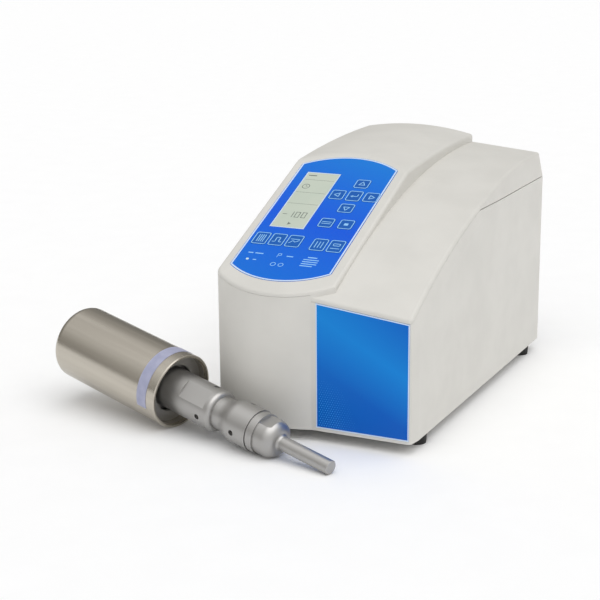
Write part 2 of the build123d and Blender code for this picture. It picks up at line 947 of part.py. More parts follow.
# Printed label on the flat front
label_left = crease_x() + label_left_margin
label_right = unit_width - label_right_margin
label_gap = cover_lip + label_clearance
with BuildPart() as front_label:
    with BuildSketch(facing(0)):
        with BuildLine():
            Polyline(
                (label_left, label_bottom),
                (label_right, label_bottom),
                (label_right, shoulder_z(label_right, 0) - label_gap),
                (label_left, shoulder_z(label_left, 0) - label_gap),
                close=True,
            )
        make_face()
    extrude(amount=label_thickness)
front_label.part.label = "front_label"
export_step(front_label.part, "parts/front_label.step")

# Keypad overlay in its recess, cut out for the display and the keys
with BuildPart() as keypad_overlay:
    with BuildSketch(pad(-recess_depth)):
        add(overlay_outline(0.0))
        with Locations((display_x, display_y)):
            Rectangle(display_width, display_height, mode=Mode.SUBTRACT)
        for x, y, width, height in key_places.values():
            with Locations((x, y)):
                RectangleRounded(
                    width + 2 * key_gap, height + 2 * key_gap, key_corner + key_gap, mode=Mode.SUBTRACT
                )
    extrude(amount=recess_depth + overlay_proud)
keypad_overlay.part.label = "keypad_overlay"
export_step(keypad_overlay.part, "parts/keypad_overlay.step")

# Keys: a thin cap on a stem, whose collar stops against the cover's inner face
for name, (x, y, width, height) in key_places.items():
    with BuildPart() as key:
        with BuildSketch(pad(key_top)):
            with Locations((x, y)):
                RectangleRounded(width, height, key_corner)
        extrude(amount=-key_thickness)
        with BuildSketch(pad(key_top - key_thickness)):
            with Locations((x, y)):
                Circle(stem_radius)
        extrude(amount=-(stem_reach + key_top - key_thickness))
        with BuildSketch(pad(-wall)):
            with Locations((x, y)):
                Circle(stem_collar_radius)
        extrude(amount=-stem_collar_thickness)
    key.part.label = name
    export_step(key.part, "parts/" + name + ".step")

# Display: a clear window on the ledge, and the module behind the cover's wall
with BuildPart() as display_window:
    with BuildSketch(pad(-recess_depth)):
        with Locations((display_x, display_y)):
            Rectangle(display_width - 2 * window_gap, display_height - 2 * window_gap)
    extrude(amount=recess_depth + overlay_proud)
display_window.part.label = "display_window"
export_step(display_window.part, "parts/display_window.step")

with BuildPart() as display_module:
    with BuildSketch(pad(-wall)):
        with Locations((display_x, display_y)):
            Rectangle(display_width + 2 * module_margin, display_height + 2 * module_margin)
    extrude(amount=-module_thickness)
display_module.part.label = "display_module"
export_step(display_module.part, "parts/display_module.step")

# Key board: an L-shaped circuit board on posts, beside the display module
key_board_top = -(stem_reach + key_travel + dome_gap + dome_height)
notch_width = display_x + display_width / 2 + 2 * module_margin - key_board_left
notch_low = display_y - display_height / 2 - 2 * module_margin
with BuildPart() as key_board:
    with BuildSketch(pad(key_board_top)):
        with Locations((key_board_left, key_board_low)):
            Rectangle(key_board_width, key_board_height, align=Align.MIN)
        with Locations((key_board_left, notch_low)):
            Rectangle(notch_width, key_board_height, align=Align.MIN, mode=Mode.SUBTRACT)
        with Locations(*post_places):
            Circle(post_screw_radius + screw_clearance, mode=Mode.SUBTRACT)
    extrude(amount=-board_thickness)
key_board.part.label = "key_board"
export_step(key_board.part, "parts/key_board.step")

with BuildPart() as key_switches:
    with BuildSketch(pad(key_board_top)):
        for x, y, width, height in key_places.values():
            with Locations((x, y)):
                Circle(dome_radius)
    extrude(amount=dome_height)
key_switches.part.label = "key_switches"
export_step(key_switches.part, "parts/key_switches.step")

# Main board on its standoffs
with BuildPart() as board_standoffs:
    with BuildSketch(level(pan_top)):
        with Locations(*standoff_places):
            RegularPolygon(standoff_radius, 6)
            Circle(post_screw_radius + screw_clearance, mode=Mode.SUBTRACT)
    extrude(amount=standoff_height)
board_standoffs.part.label = "board_standoffs"
export_step(board_standoffs.part, "parts/board_standoffs.step")

with BuildPart() as main_board:
    with BuildSketch(level(board_low)):
        with Locations((main_board_x, main_board_y)):
            Rectangle(main_board_width, main_board_depth, align=Align.MIN)
        with Locations(*standoff_places):
            Circle(post_screw_radius + screw_clearance, mode=Mode.SUBTRACT)
    extrude(amount=board_thickness)
main_board.part.label = "main_board"
export_step(main_board.part, "parts/main_board.step")

# Small screws of both boards
with BuildPart() as board_screws:
    board_head = (post_screw_radius, board_head_radius, board_head_height)
    for x, y in standoff_places:
        add(screw(in_unit(x, y, board_top), -up, board_screw_length, *board_head))
        foot = in_unit(x, y, flange_thickness)
        add(screw(foot, up, pan_thickness + wall, post_screw_radius, board_head_radius, pan_head_height))
    board_back = pad(key_board_top - board_thickness)
    for x, y in post_places:
        place = board_back.from_local_coords((x, y, 0))
        add(screw(place, board_back.z_dir, post_screw_length, *board_head))
board_screws.part.label = "board_screws"
export_step(board_screws.part, "parts/board_screws.step")

# Heat sink with upright fins, and the power transistors against its flank
sink_right = heat_sink_x + heat_sink_width / 2
with BuildPart() as heat_sink:
    with BuildSketch(level(board_top)):
        with Locations((heat_sink_x, heat_sink_y)):
            Rectangle(heat_sink_width, heat_sink_depth)
    extrude(amount=heat_sink_base)
    with BuildSketch(level(board_top)):
        with Locations((heat_sink_x, heat_sink_y)):
            with GridLocations((heat_sink_width - fin_thickness) / (fin_count - 1), 0, fin_count, 1):
                Rectangle(fin_thickness, heat_sink_depth)
    extrude(amount=heat_sink_height)
heat_sink.part.label = "heat_sink"
export_step(heat_sink.part, "parts/heat_sink.step")

with BuildPart() as power_transistors:
    for step in range(transistor_count):
        y = heat_sink_y + (step - (transistor_count - 1) / 2) * transistor_pitch
        with BuildSketch(level(board_top + lead_length)):
            with Locations((sink_right + transistor_thickness / 2, y)):
                Rectangle(transistor_thickness, transistor_width)
        extrude(amount=transistor_height)
        with BuildSketch(level(board_top)):
            with Locations((sink_right + transistor_thickness / 2, y)):
                with GridLocations(0, transistor_width / 3, 1, 3):
                    Rectangle(lead_width / 2, lead_width)
        extrude(amount=lead_length)
power_transistors.part.label = "power_transistors"
export_step(power_transistors.part, "parts/power_transistors.step")

# Output transformer: a core with two windows and the winding round its middle limb
window_height = core_height - 2 * core_limb
window_width = (core_width - 2 * core_limb - core_middle_limb) / 2
with BuildPart() as transformer_core:
    with BuildSketch(facing(core_y + core_depth / 2)):
        with Locations((core_x, board_top + core_height / 2)):
            Rectangle(core_width, core_height)
            with GridLocations(window_width + core_middle_limb, 0, 2, 1):
                Rectangle(window_width, window_height, mode=Mode.SUBTRACT)
    extrude(amount=core_depth)
transformer_core.part.label = "transformer_core"
export_step(transformer_core.part, "parts/transformer_core.step")

with BuildPart() as transformer_coil:
    with BuildSketch(level(board_top + core_limb)):
        with Locations((core_x, core_y)):
            RectangleRounded(
                core_middle_limb + 2 * (window_width - fit),
                core_depth + 2 * (window_width - fit),
                coil_corner,
            )
            Rectangle(core_middle_limb, core_depth, mode=Mode.SUBTRACT)
    extrude(amount=window_height - fit)
transformer_coil.part.label = "transformer_coil"
export_step(transformer_coil.part, "parts/transformer_coil.step")

# Filter capacitors and the tuning coil
with BuildPart() as filter_capacitors:
    with BuildSketch(level(board_top)):
        with Locations(*capacitor_places):
            Circle(capacitor_radius)
    extrude(amount=capacitor_height)
    chamfer(filter_capacitors.edges().group_by(Axis.Z)[-1], capacitor_chamfer)
filter_capacitors.part.label = "filter_capacitors"
export_step(filter_capacitors.part, "parts/filter_capacitors.step")

with BuildPart() as tuning_coil:
    with BuildSketch(level(board_top)):
        with Locations((tuning_x, tuning_y)):
            Circle(coil_radius + coil_wire_radius)
            Circle(coil_radius - coil_wire_radius, mode=Mode.SUBTRACT)
    extrude(amount=2 * coil_wire_radius)
    fillet(tuning_coil.edges().filter_by(GeomType.CIRCLE), coil_round)
tuning_coil.part.label = "tuning_coil"
export_step(tuning_coil.part, "parts/tuning_coil.step")

# Fan: a square frame whose struts carry a bearing tube, its rotor and its wire guard
fan_front = panel_back - fan_depth
with BuildPart() as fan_frame:
    with BuildSketch(facing(panel_back)):
        with Locations((fan_x, fan_z)):
            RectangleRounded(fan_size, fan_size, fan_corner)
            Circle(fan_bore_radius, mode=Mode.SUBTRACT)
        with Locations(*fan_corners):
            Circle(screw_radius + screw_clearance, mode=Mode.SUBTRACT)
    extrude(amount=fan_depth)
    with BuildSketch(facing(panel_back)):
        with Locations((fan_x, fan_z)):
            Circle(fan_hub_radius)
            Rectangle(2 * fan_bore_radius + overrun, fan_strut_width)
            Rectangle(fan_strut_width, 2 * fan_bore_radius + overrun)
    extrude(amount=fan_plate)
    with BuildSketch(facing(panel_back)):
        with Locations((fan_x, fan_z)):
            Circle(fan_tube_radius)
    extrude(amount=fan_tube_length)
    with BuildSketch(facing(panel_back - overrun)):
        with Locations((fan_x, fan_z)):
            Circle(fan_shaft_radius + fan_shaft_clearance)
    extrude(amount=fan_depth, mode=Mode.SUBTRACT)
fan_frame.part.label = "fan_frame"
export_step(fan_frame.part, "parts/fan_frame.step")

fan_middle = in_unit(fan_x, panel_back - fan_plate - fan_rotor_gap - fan_rotor_depth / 2, fan_z)
with BuildPart() as fan_rotor:
    for step in range(fan_blade_count):
        angle = radians(step * 360 / fan_blade_count)
        outward = Vector(cos(angle), 0, sin(angle))
        blade_foot = fan_middle + outward * fan_hub_radius / 2
        with BuildSketch(Plane(origin=blade_foot, x_dir=back, z_dir=outward)):
            Rectangle(fan_blade_chord, fan_blade_thickness, rotation=fan_blade_pitch)
        extrude(amount=fan_bore_radius)
    with BuildSketch(facing(panel_back - fan_plate - fan_rotor_gap)):
        with Locations((fan_x, fan_z)):
            Circle(fan_blade_radius)
    extrude(amount=fan_rotor_depth, mode=Mode.INTERSECT)
    with BuildSketch(facing(panel_back - fan_plate - fan_rotor_gap)):
        with Locations((fan_x, fan_z)):
            Circle(fan_hub_radius)
    extrude(amount=fan_rotor_depth)
    with BuildSketch(facing(panel_back - fan_plate - fan_rotor_gap)):
        with Locations((fan_x, fan_z)):
            Circle(fan_hub_radius - fan_hub_wall)
    extrude(amount=fan_rotor_depth - fan_hub_wall, mode=Mode.SUBTRACT)
    with BuildSketch(facing(panel_back - fan_shaft_setback)):
        with Locations((fan_x, fan_z)):
            Circle(fan_shaft_radius)
    extrude(amount=fan_plate + fan_rotor_gap + fan_rotor_depth - fan_shaft_setback)
fan_rotor.part.label = "fan_rotor"
export_step(fan_rotor.part, "parts/fan_rotor.step")

lug_reach = fan_hole_spacing / sqrt(2)
spoke_start = guard_ring_radii[0]
with BuildPart() as fan_guard:
    with BuildSketch(facing(panel_face)):
        for turn in (45, 135, 225, 315):
            with Locations(Location((fan_x, fan_z), turn)):
                with Locations(((spoke_start + lug_reach) / 2, 0)):
                    Rectangle(lug_reach - spoke_start, 2 * guard_wire_radius)
        with Locations(*fan_corners):
            Circle(guard_lug_radius)
            Circle(screw_radius + screw_clearance, mode=Mode.SUBTRACT)
    extrude(amount=-2 * guard_wire_radius)
    for middle in guard_ring_radii:
        with BuildSketch(facing(panel_face)):
            with Locations((fan_x, fan_z)):
                Circle(middle + guard_wire_radius)
                Circle(middle - guard_wire_radius, mode=Mode.SUBTRACT)
        extrude(amount=-2 * guard_wire_radius)
fan_guard.part.label = "fan_guard"
export_step(fan_guard.part, "parts/fan_guard.step")

with BuildPart() as fan_screws:
    for x, z in fan_corners:
        place = in_unit(x, panel_face + 2 * guard_wire_radius, z)
        add(screw(place, -back, 2 * guard_wire_radius + panel_thickness + fan_depth + nut_height + overrun))
    with BuildSketch(facing(fan_front)):
        with Locations(*fan_corners):
            RegularPolygon(nut_width / 2, 6, major_radius=False)
    extrude(amount=nut_height)
fan_screws.part.label = "fan_screws"
export_step(fan_screws.part, "parts/fan_screws.step")

# Power inlet: a flanged cup with three flat pins standing in its floor
inlet_floor = panel_face + inlet_flange_thickness - inlet_cavity_depth
pin_places = [
    (inlet_x - pin_spread, inlet_z - pin_rise),
    (inlet_x, inlet_z + pin_rise),
    (inlet_x + pin_spread, inlet_z - pin_rise),
]
with BuildPart() as power_inlet:
    with BuildSketch(facing(panel_face)):
        with Locations((inlet_x, inlet_z)):
            RectangleRounded(inlet_flange_width, inlet_flange_height, 3 * inlet_corner)
    extrude(amount=-inlet_flange_thickness)
    with BuildSketch(facing(panel_face)):
        with Locations((inlet_x, inlet_z)):
            RectangleRounded(inlet_body_width, inlet_body_height, inlet_corner)
    extrude(amount=inlet_body_depth)
    with BuildSketch(facing(panel_face + inlet_flange_thickness)) as inlet_mouth:
        with Locations((inlet_x, inlet_z)):
            Rectangle(inlet_cavity_width, inlet_cavity_height)
        chamfer(inlet_mouth.vertices().group_by(Axis.Y)[-1], inlet_corner)
    extrude(amount=inlet_cavity_depth, mode=Mode.SUBTRACT)
    with BuildSketch(facing(inlet_floor)):
        with Locations(*pin_places):
            Rectangle(pin_width, pin_height)
    extrude(amount=inlet_body_depth, mode=Mode.SUBTRACT)
    with BuildSketch(facing(panel_face + inlet_flange_thickness)):
        with Locations(*inlet_corners):
            Circle(screw_radius + screw_clearance)
    extrude(amount=inlet_flange_thickness, mode=Mode.SUBTRACT)
power_inlet.part.label = "power_inlet"
export_step(power_inlet.part, "parts/power_inlet.step")

with BuildPart() as inlet_pins:
    with BuildSketch(facing(inlet_floor + pin_length)):
        with Locations(*pin_places):
            Rectangle(pin_width, pin_height)
    extrude(amount=pin_length + inlet_body_depth)
    chamfer(inlet_pins.edges().group_by(Axis.Y)[-1], pin_width / 4)
inlet_pins.part.label = "inlet_pins"
export_step(inlet_pins.part, "parts/inlet_pins.step")

# Power switch: a flanged frame and the rocker that tips in it
pivot_y = panel_face - rocker_pivot_back
with BuildPart() as power_switch:
    with BuildSketch(facing(panel_face)):
        with Locations((switch_x, switch_z)):
            RectangleRounded(switch_flange_width, switch_flange_height, switch_corner)
    extrude(amount=-switch_flange_thickness)
    with BuildSketch(facing(panel_face)):
        with Locations((switch_x, switch_z)):
            Rectangle(switch_body_width, switch_body_height)
    extrude(amount=switch_body_depth)
    with BuildSketch(facing(panel_face + switch_flange_thickness)):
        with Locations((switch_x, switch_z)):
            Rectangle(rocker_width + 2 * rocker_gap, 2 * (rocker_radius + rocker_gap))
    well_depth = switch_flange_thickness + rocker_pivot_back + rocker_radius + rocker_gap
    extrude(amount=well_depth, mode=Mode.SUBTRACT)
    with BuildSketch(side(switch_x - switch_body_width)):
        with Locations((pivot_y, switch_z)):
            Circle(rocker_pivot_radius + rocker_pivot_clearance)
    extrude(amount=2 * switch_body_width, mode=Mode.SUBTRACT)
power_switch.part.label = "power_switch"
export_step(power_switch.part, "parts/power_switch.step")

with BuildPart() as power_rocker:
    pivot_start = in_unit(switch_x - rocker_width / 2, pivot_y, switch_z)
    tipped = (0, cos(radians(rocker_tilt)), -sin(radians(rocker_tilt)))
    rise = 2 * rocker_radius * tan(radians(rocker_tilt))
    with BuildSketch(Plane(origin=pivot_start, x_dir=tipped, z_dir=(1, 0, 0))):
        Circle(rocker_radius)
        with BuildLine():
            Polyline(
                (-rocker_back, -2 * rocker_radius),
                (rocker_face + rise, -2 * rocker_radius),
                (rocker_face, 0),
                (rocker_face + rise, 2 * rocker_radius),
                (-rocker_back, 2 * rocker_radius),
                close=True,
            )
        make_face(mode=Mode.INTERSECT)
    extrude(amount=rocker_width)
    with BuildSketch(side(switch_x - switch_body_width / 2 + screw_clearance)):
        with Locations((pivot_y, switch_z)):
            Circle(rocker_pivot_radius)
    extrude(amount=switch_body_width - 2 * screw_clearance)
power_rocker.part.label = "power_rocker"
export_step(power_rocker.part, "parts/power_rocker.step")

# Output socket: a square flange, a round barrel with two lugs, and its insulated core
with BuildPart() as output_socket:
    with BuildSketch(facing(panel_face)):
        with Locations((socket_x, socket_z)):
            RectangleRounded(socket_flange, socket_flange, socket_corner)
    extrude(amount=-socket_flange_thickness)
    with BuildSketch(facing(panel_face)):
        with Locations((socket_x, socket_z)):
            Circle(socket_tail_radius)
    extrude(amount=socket_tail_length)
    with BuildSketch(facing(panel_face)):
        with Locations((socket_x, socket_z)):
            Circle(socket_barrel_radius)
    extrude(amount=-(socket_flange_thickness + socket_barrel_length))
    with BuildSketch(level(socket_z - socket_barrel_radius - socket_lug_reach)):
        with Locations((socket_x, rear_reach - 2 * socket_lug_radius)):
            Circle(socket_lug_radius)
    extrude(amount=2 * (socket_barrel_radius + socket_lug_reach))
    with BuildSketch(facing(rear_reach)):
        with Locations((socket_x, socket_z)):
            Circle(socket_barrel_radius - socket_barrel_wall)
    extrude(amount=socket_barrel_length, mode=Mode.SUBTRACT)
    with BuildSketch(facing(rear_reach)):
        with Locations((socket_x, socket_z)):
            Circle(socket_core_radius)
    extrude(amount=socket_barrel_length + socket_flange_thickness + socket_tail_length, mode=Mode.SUBTRACT)
    with BuildSketch(facing(panel_face + socket_flange_thickness)):
        with Locations(*socket_corners):
            Circle(screw_radius + screw_clearance)
    extrude(amount=socket_flange_thickness, mode=Mode.SUBTRACT)
output_socket.part.label = "output_socket"
export_step(output_socket.part, "parts/output_socket.step")

with BuildPart() as output_core:
    with BuildSketch(facing(rear_reach - socket_core_setback)):
        with Locations((socket_x, socket_z)):
            Circle(socket_core_radius)
            Circle(socket_contact_radius, mode=Mode.SUBTRACT)
    extrude(amount=socket_barrel_length + socket_flange_thickness + socket_tail_length)
output_core.part.label = "output_core"
export_step(output_core.part, "parts/output_core.step")

# Remote control socket: a D-shaped shell of nine contacts between two posts
with BuildPart() as remote_socket:
    with BuildSketch(facing(panel_face)):
        with Locations((remote_x, remote_z)):
            RectangleRounded(remote_flange_width, remote_flange_height, remote_corner)
    extrude(amount=-remote_flange_thickness)
    with BuildSketch(facing(panel_face)):
        with Locations((remote_x, remote_z)):
            RectangleRounded(remote_shell_width, remote_shell_height, inlet_corner / 2)
    extrude(amount=remote_tail_depth)
    with BuildSketch(facing(panel_face)):
        with Locations((remote_x, remote_z)):
            Trapezoid(remote_shell_width, remote_shell_height, remote_side_angle, rotation=180)
    extrude(amount=-(remote_flange_thickness + remote_shell_reach))
    with BuildSketch(facing(panel_face + remote_flange_thickness + remote_shell_reach)):
        for row, count in ((1, 5), (-1, 4)):
            with Locations((remote_x, remote_z + row * remote_pin_pitch / 2)):
                with GridLocations(remote_pin_pitch, 0, count, 1):
                    Circle(remote_pin_radius)
    extrude(amount=remote_shell_reach, mode=Mode.SUBTRACT)
    with BuildSketch(facing(panel_face + remote_flange_thickness)):
        with Locations(*remote_posts):
            RegularPolygon(remote_post_radius, 6)
    extrude(amount=-remote_shell_reach)
    with BuildSketch(facing(panel_face)):
        with Locations(*remote_posts):
            Circle(remote_thread_radius)
    extrude(amount=remote_tail_depth)
remote_socket.part.label = "remote_socket"
export_step(remote_socket.part, "parts/remote_socket.step")

# Ground stud with a nut on each side of the panel
with BuildPart() as ground_stud:
    with BuildSketch(facing(panel_face + stud_length / 2)):
        with Locations((stud_x, stud_z)):
            Circle(stud_radius)
    extrude(amount=stud_length)
    for face, amount in ((panel_face, -nut_height), (panel_back, nut_height)):
        with BuildSketch(facing(face)):
            with Locations((stud_x, stud_z)):
                RegularPolygon(nut_width / 2, 6, major_radius=False)
        extrude(amount=amount)
ground_stud.part.label = "ground_stud"
export_step(ground_stud.part, "parts/ground_stud.step")

# Frame of the handpiece: its rim's middle, its axis towards the tip, and the directions across it
rim = Vector(unit_left + rim_x, unit_front + rim_y, rim_z)
ahead = Vector(*toward_tip)
above = (up - ahead * ahead.Z).normalized()
beside = ahead.cross(above)
turning = Plane(origin=rim, x_dir=ahead, z_dir=beside)
probe_axis = Axis(rim, ahead)


def along(distance):
    """Sketch plane across the handpiece's axis, at a distance from the rim, its first axis upwards"""
    return Plane(origin=rim + ahead * distance, x_dir=above, z_dir=ahead)


def ring(start, end, outer, inner=0.0):
    """A round or ring-shaped solid on the handpiece's axis"""
    with BuildPart() as item:
        with BuildSketch(along(start)):
            Circle(outer)
            if inner > 0:
                Circle(inner, mode=Mode.SUBTRACT)
        extrude(amount=end - start)
    return item.part


def outward(angle):
    """Direction away from the handpiece's axis at an angle from its upper side"""
    return above * cos(radians(angle)) + beside * sin(radians(angle))


def spanner_hole(distance, angle, radius):
    """A round hole towards the axis for a pin spanner"""
    with BuildPart() as item:
        mouth = rim + ahead * distance + outward(angle) * radius
        with BuildSketch(Plane(origin=mouth, z_dir=outward(angle))):
            Circle(spanner_radius)
        extrude(amount=-spanner_depth)
    return item.part


def wrench_flat(start, end, angle, radius):
    """What is cut away outside a flat at radius from the axis"""
    with BuildPart() as item:
        with BuildSketch(along(start)):
            with Locations(Location((0, 0), angle)):
                with Locations((radius + neck_radius / 2, 0)):
                    Rectangle(neck_radius, 2 * neck_radius)
        extrude(amount=end - start)
    return item.part


# Distances of the transducer's pieces from the rim
flange_front = -recess_floor
flange_back = flange_front - driver_flange_thickness
shoulder_front = flange_back - 2 * ring_wire_radius
ring_back = flange_front + 2 * ring_wire_radius
ring_front = ring_back + retaining_thickness
driver_back = flange_back - driver_rear
bore_radius = case_radius - case_wall
case_back = -case_length
round_offset = case_round * (1 - sqrt(0.5))

# Case: a tube closed at the rear, with a stepped mouth and a shoulder inside
with BuildPart() as handpiece_case:
    with BuildSketch(turning):
        with BuildLine():
            Line((case_back, case_socket_hole), (case_back, case_radius - case_round))
            ThreePointArc(
                (case_back, case_radius - case_round),
                (case_back + round_offset, case_radius - round_offset),
                (case_back + case_round, case_radius),
            )
            Polyline(
                (case_back + case_round, case_radius),
                (-rim_chamfer, case_radius),
                (0, case_radius - rim_chamfer),
                (0, case_radius - rim_wall),
                (-rim_depth, case_radius - rim_wall),
                (-rim_depth, bore_radius),
                (shoulder_front, bore_radius),
                (shoulder_front, case_shoulder_radius),
                (shoulder_front - case_shoulder_thickness, case_shoulder_radius),
                (shoulder_front - case_shoulder_thickness, bore_radius),
                (case_back + case_rear_wall, bore_radius),
                (case_back + case_rear_wall, case_socket_hole),
                (case_back, case_socket_hole),
            )
        make_face()
    revolve(axis=probe_axis)
handpiece_case.part.label = "handpiece_case"
export_step(handpiece_case.part, "parts/handpiece_case.step")

# Band stuck round the upper side of the case
band_plane = Plane(origin=rim, x_dir=ahead, z_dir=ahead.cross(outward(band_first_angle)))
with BuildPart() as case_band:
    with BuildSketch(band_plane):
        with Locations((-band_start - band_width / 2, case_radius + band_thickness / 2)):
            Rectangle(band_width, band_thickness)
    revolve(axis=probe_axis, revolution_arc=band_angle)
case_band.part.label = "case_band"
export_step(case_band.part, "parts/case_band.step")

# Socket in the middle of the case's rear
with BuildPart() as case_socket:
    add(ring(case_back - socket_flange_thickness, case_back, case_socket_flange_radius))
    add(ring(case_back, case_back + socket_tail_length, case_socket_hole - screw_clearance))
    add(ring(-case_reach, case_back, socket_barrel_radius))
    add(
        ring(-case_reach, case_back - socket_flange_thickness, socket_barrel_radius - socket_barrel_wall),
        mode=Mode.SUBTRACT,
    )
    add(ring(socket_core_setback - case_reach, case_back, socket_core_radius))
    add(ring(socket_core_setback - case_reach, case_back, socket_contact_radius), mode=Mode.SUBTRACT)
case_socket.part.label = "case_socket"
export_step(case_socket.part, "parts/case_socket.step")

# Retaining ring with two slots, and the two sealing rings that hold the driver's flange
with BuildPart() as retaining_ring:
    add(ring(ring_back, ring_front, bore_radius, retaining_hole_radius))
    with BuildSketch(along(ring_front)):
        with Locations(Location((0, 0), flat_angle)):
            Rectangle(2 * bore_radius - case_wall, slot_width)
    extrude(amount=-retaining_thickness / 2, mode=Mode.SUBTRACT)
retaining_ring.part.label = "retaining_ring"
export_step(retaining_ring.part, "parts/retaining_ring.step")

with BuildPart() as seal_rings:
    with BuildSketch(turning):
        with Locations(
            (flange_front + ring_wire_radius, ring_middle_radius),
            (flange_back - ring_wire_radius, ring_middle_radius),
        ):
            Circle(ring_wire_radius)
    revolve(axis=probe_axis)
seal_rings.part.label = "seal_rings"
export_step(seal_rings.part, "parts/seal_rings.step")

# Front driver: a neck with wrench flats and pin holes, held by its flange
spanner_place = neck_length - spanner_from_front
stud_hole_radius = stud_thread_radius + thread_clearance
bolt_hole_radius = bolt_radius + bolt_clearance
with BuildPart() as front_driver:
    add(ring(flange_front, neck_length, neck_radius))
    add(ring(flange_back, flange_front, driver_flange_radius))
    add(ring(driver_back, flange_back, piezo_radius))
    add(ring(neck_length - stud_thread_depth, neck_length, stud_hole_radius), mode=Mode.SUBTRACT)
    add(ring(driver_back, driver_back + bolt_grip + overrun, bolt_hole_radius), mode=Mode.SUBTRACT)
    for turn in (0, 180):
        cut = wrench_flat(flat_start, neck_length, flat_angle + turn, neck_radius - flat_depth)
        add(cut, mode=Mode.SUBTRACT)
        for spread in (-spanner_spread, spanner_spread):
            add(spanner_hole(spanner_place, flat_angle + turn + spread, neck_radius), mode=Mode.SUBTRACT)
front_driver.part.label = "front_driver"
export_step(front_driver.part, "parts/front_driver.step")

# Piezo rings with thin electrodes between them, then the tail mass and the bolt that clamps the stack
layer = piezo_thickness + electrode_thickness
with BuildPart() as piezo_rings:
    for step in range(piezo_count):
        end = driver_back - step * layer
        add(ring(end - piezo_thickness, end, piezo_radius, piezo_bore_radius))
piezo_rings.part.label = "piezo_rings"
export_step(piezo_rings.part, "parts/piezo_rings.step")

with BuildPart() as electrodes:
    for step in range(piezo_count):
        end = driver_back - step * layer - piezo_thickness
        with BuildSketch(along(end)):
            Circle(piezo_radius)
            with Locations((piezo_radius, 0)):
                Rectangle(2 * electrode_tab, electrode_tab)
            Circle(piezo_bore_radius, mode=Mode.SUBTRACT)
        extrude(amount=-electrode_thickness)
electrodes.part.label = "electrodes"
export_step(electrodes.part, "parts/electrodes.step")

tail_front = driver_back - piezo_count * layer
tail_back = tail_front - tail_length
with BuildPart() as tail_mass:
    add(ring(tail_back, tail_front, tail_radius, bolt_hole_radius))
tail_mass.part.label = "tail_mass"
export_step(tail_mass.part, "parts/tail_mass.step")

with BuildPart() as stack_bolt:
    bolt_length = driver_back + bolt_grip - tail_back
    add(screw(rim + ahead * tail_back, ahead, bolt_length, bolt_radius, bolt_head_radius, bolt_head_height))
stack_bolt.part.label = "stack_bolt"
export_step(stack_bolt.part, "parts/stack_bolt.step")

# Threaded stud that joins the horn to the driver
with BuildPart() as horn_stud:
    add(ring(neck_length + stud_end_gap - stud_thread_depth, neck_length, stud_thread_radius))
    add(ring(neck_length, neck_length + stud_thread_depth - stud_end_gap, stud_thread_radius))
horn_stud.part.label = "horn_stud"
export_step(horn_stud.part, "parts/horn_stud.step")

# Horn: collar, waist, flare, body with a groove, nose with flats, dome and rod
collar_end = neck_length + collar_length
corner = neck_radius - waist_radius
corner_offset = corner * sqrt(0.5)
waist_start = collar_end + corner
flare_start = waist_start + waist_length
body_start = flare_start + flare_length
groove_start = body_start + body_length
groove_end = groove_start + groove_width
nose_start = groove_end + nose_collar_length
dome_start = nose_start + nose_straight
rod_end = probe_length - tip_length
dome_middle = nose_radius - nose_dome_radius
dome_rise = rod_radius + rod_fillet - dome_middle
dome_reach = sqrt((nose_dome_radius + rod_fillet) ** 2 - dome_rise**2)
fillet_middle = dome_start + dome_reach
touch = nose_dome_radius / (nose_dome_radius + rod_fillet)
dome_end = (dome_start + dome_reach * touch, dome_middle + dome_rise * touch)
dome_angle = atan(dome_rise / dome_reach)
half_angle = (dome_angle + radians(90)) / 2
with BuildPart() as horn:
    with BuildSketch(turning):
        with BuildLine():
            Polyline((neck_length, 0), (neck_length, neck_radius), (collar_end, neck_radius))
            ThreePointArc(
                (collar_end, neck_radius),
                (collar_end + corner_offset, waist_radius + corner_offset),
                (waist_start, waist_radius),
            )
            Line((waist_start, waist_radius), (flare_start, waist_radius))
            Spline(
                (flare_start, waist_radius), (body_start, neck_radius), tangents=[(1, 0), (1, 0)]
            )
            Polyline(
                (body_start, neck_radius),
                (groove_start, neck_radius),
                (groove_start, nose_collar_radius - groove_depth),
                (groove_end, nose_collar_radius - groove_depth),
                (groove_end, nose_collar_radius),
                (nose_start, nose_collar_radius),
                (nose_start, nose_radius),
                (dome_start, nose_radius),
            )
            ThreePointArc(
                (dome_start, nose_radius),
                (
                    dome_start + nose_dome_radius * cos(half_angle),
                    dome_middle + nose_dome_radius * sin(half_angle),
                ),
                dome_end,
            )
            ThreePointArc(
                dome_end,
                (
                    fillet_middle - rod_fillet * cos(half_angle),
                    rod_radius + rod_fillet - rod_fillet * sin(half_angle),
                ),
                (fillet_middle, rod_radius),
            )
            Polyline((fillet_middle, rod_radius), (rod_end, rod_radius), (rod_end, 0), (neck_length, 0))
        make_face()
    revolve(axis=probe_axis)
    add(ring(neck_length, neck_length + stud_thread_depth, stud_hole_radius), mode=Mode.SUBTRACT)
    tip_hole_radius = tip_stub_radius + thread_clearance
    add(ring(rod_end - tip_stub_length - overrun, rod_end, tip_hole_radius), mode=Mode.SUBTRACT)
    for turn in (0, 180):
        flat_end = nose_start + horn_flat_length
        cut = wrench_flat(nose_start, flat_end, horn_flat_angle + turn, nose_radius - horn_flat_depth)
        add(cut, mode=Mode.SUBTRACT)
    for turn in (0, 120, 240):
        add(spanner_hole(horn_spanner_place, horn_spanner_angle + turn, neck_radius), mode=Mode.SUBTRACT)
horn.part.label = "horn"
export_step(horn.part, "parts/horn.step")

# Replaceable tip with its threaded stub
with BuildPart() as tip:
    add(ring(rod_end, probe_length, rod_radius))
    chamfer(tip.edges().sort_by(probe_axis)[-1], tip_chamfer)
    add(ring(rod_end - tip_stub_length, rod_end, tip_stub_radius))
tip.part.label = "tip"
export_step(tip.part, "parts/tip.step")
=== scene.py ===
"""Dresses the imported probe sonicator: finishes, printed marks, wire guard, studio and camera."""

from __future__ import annotations

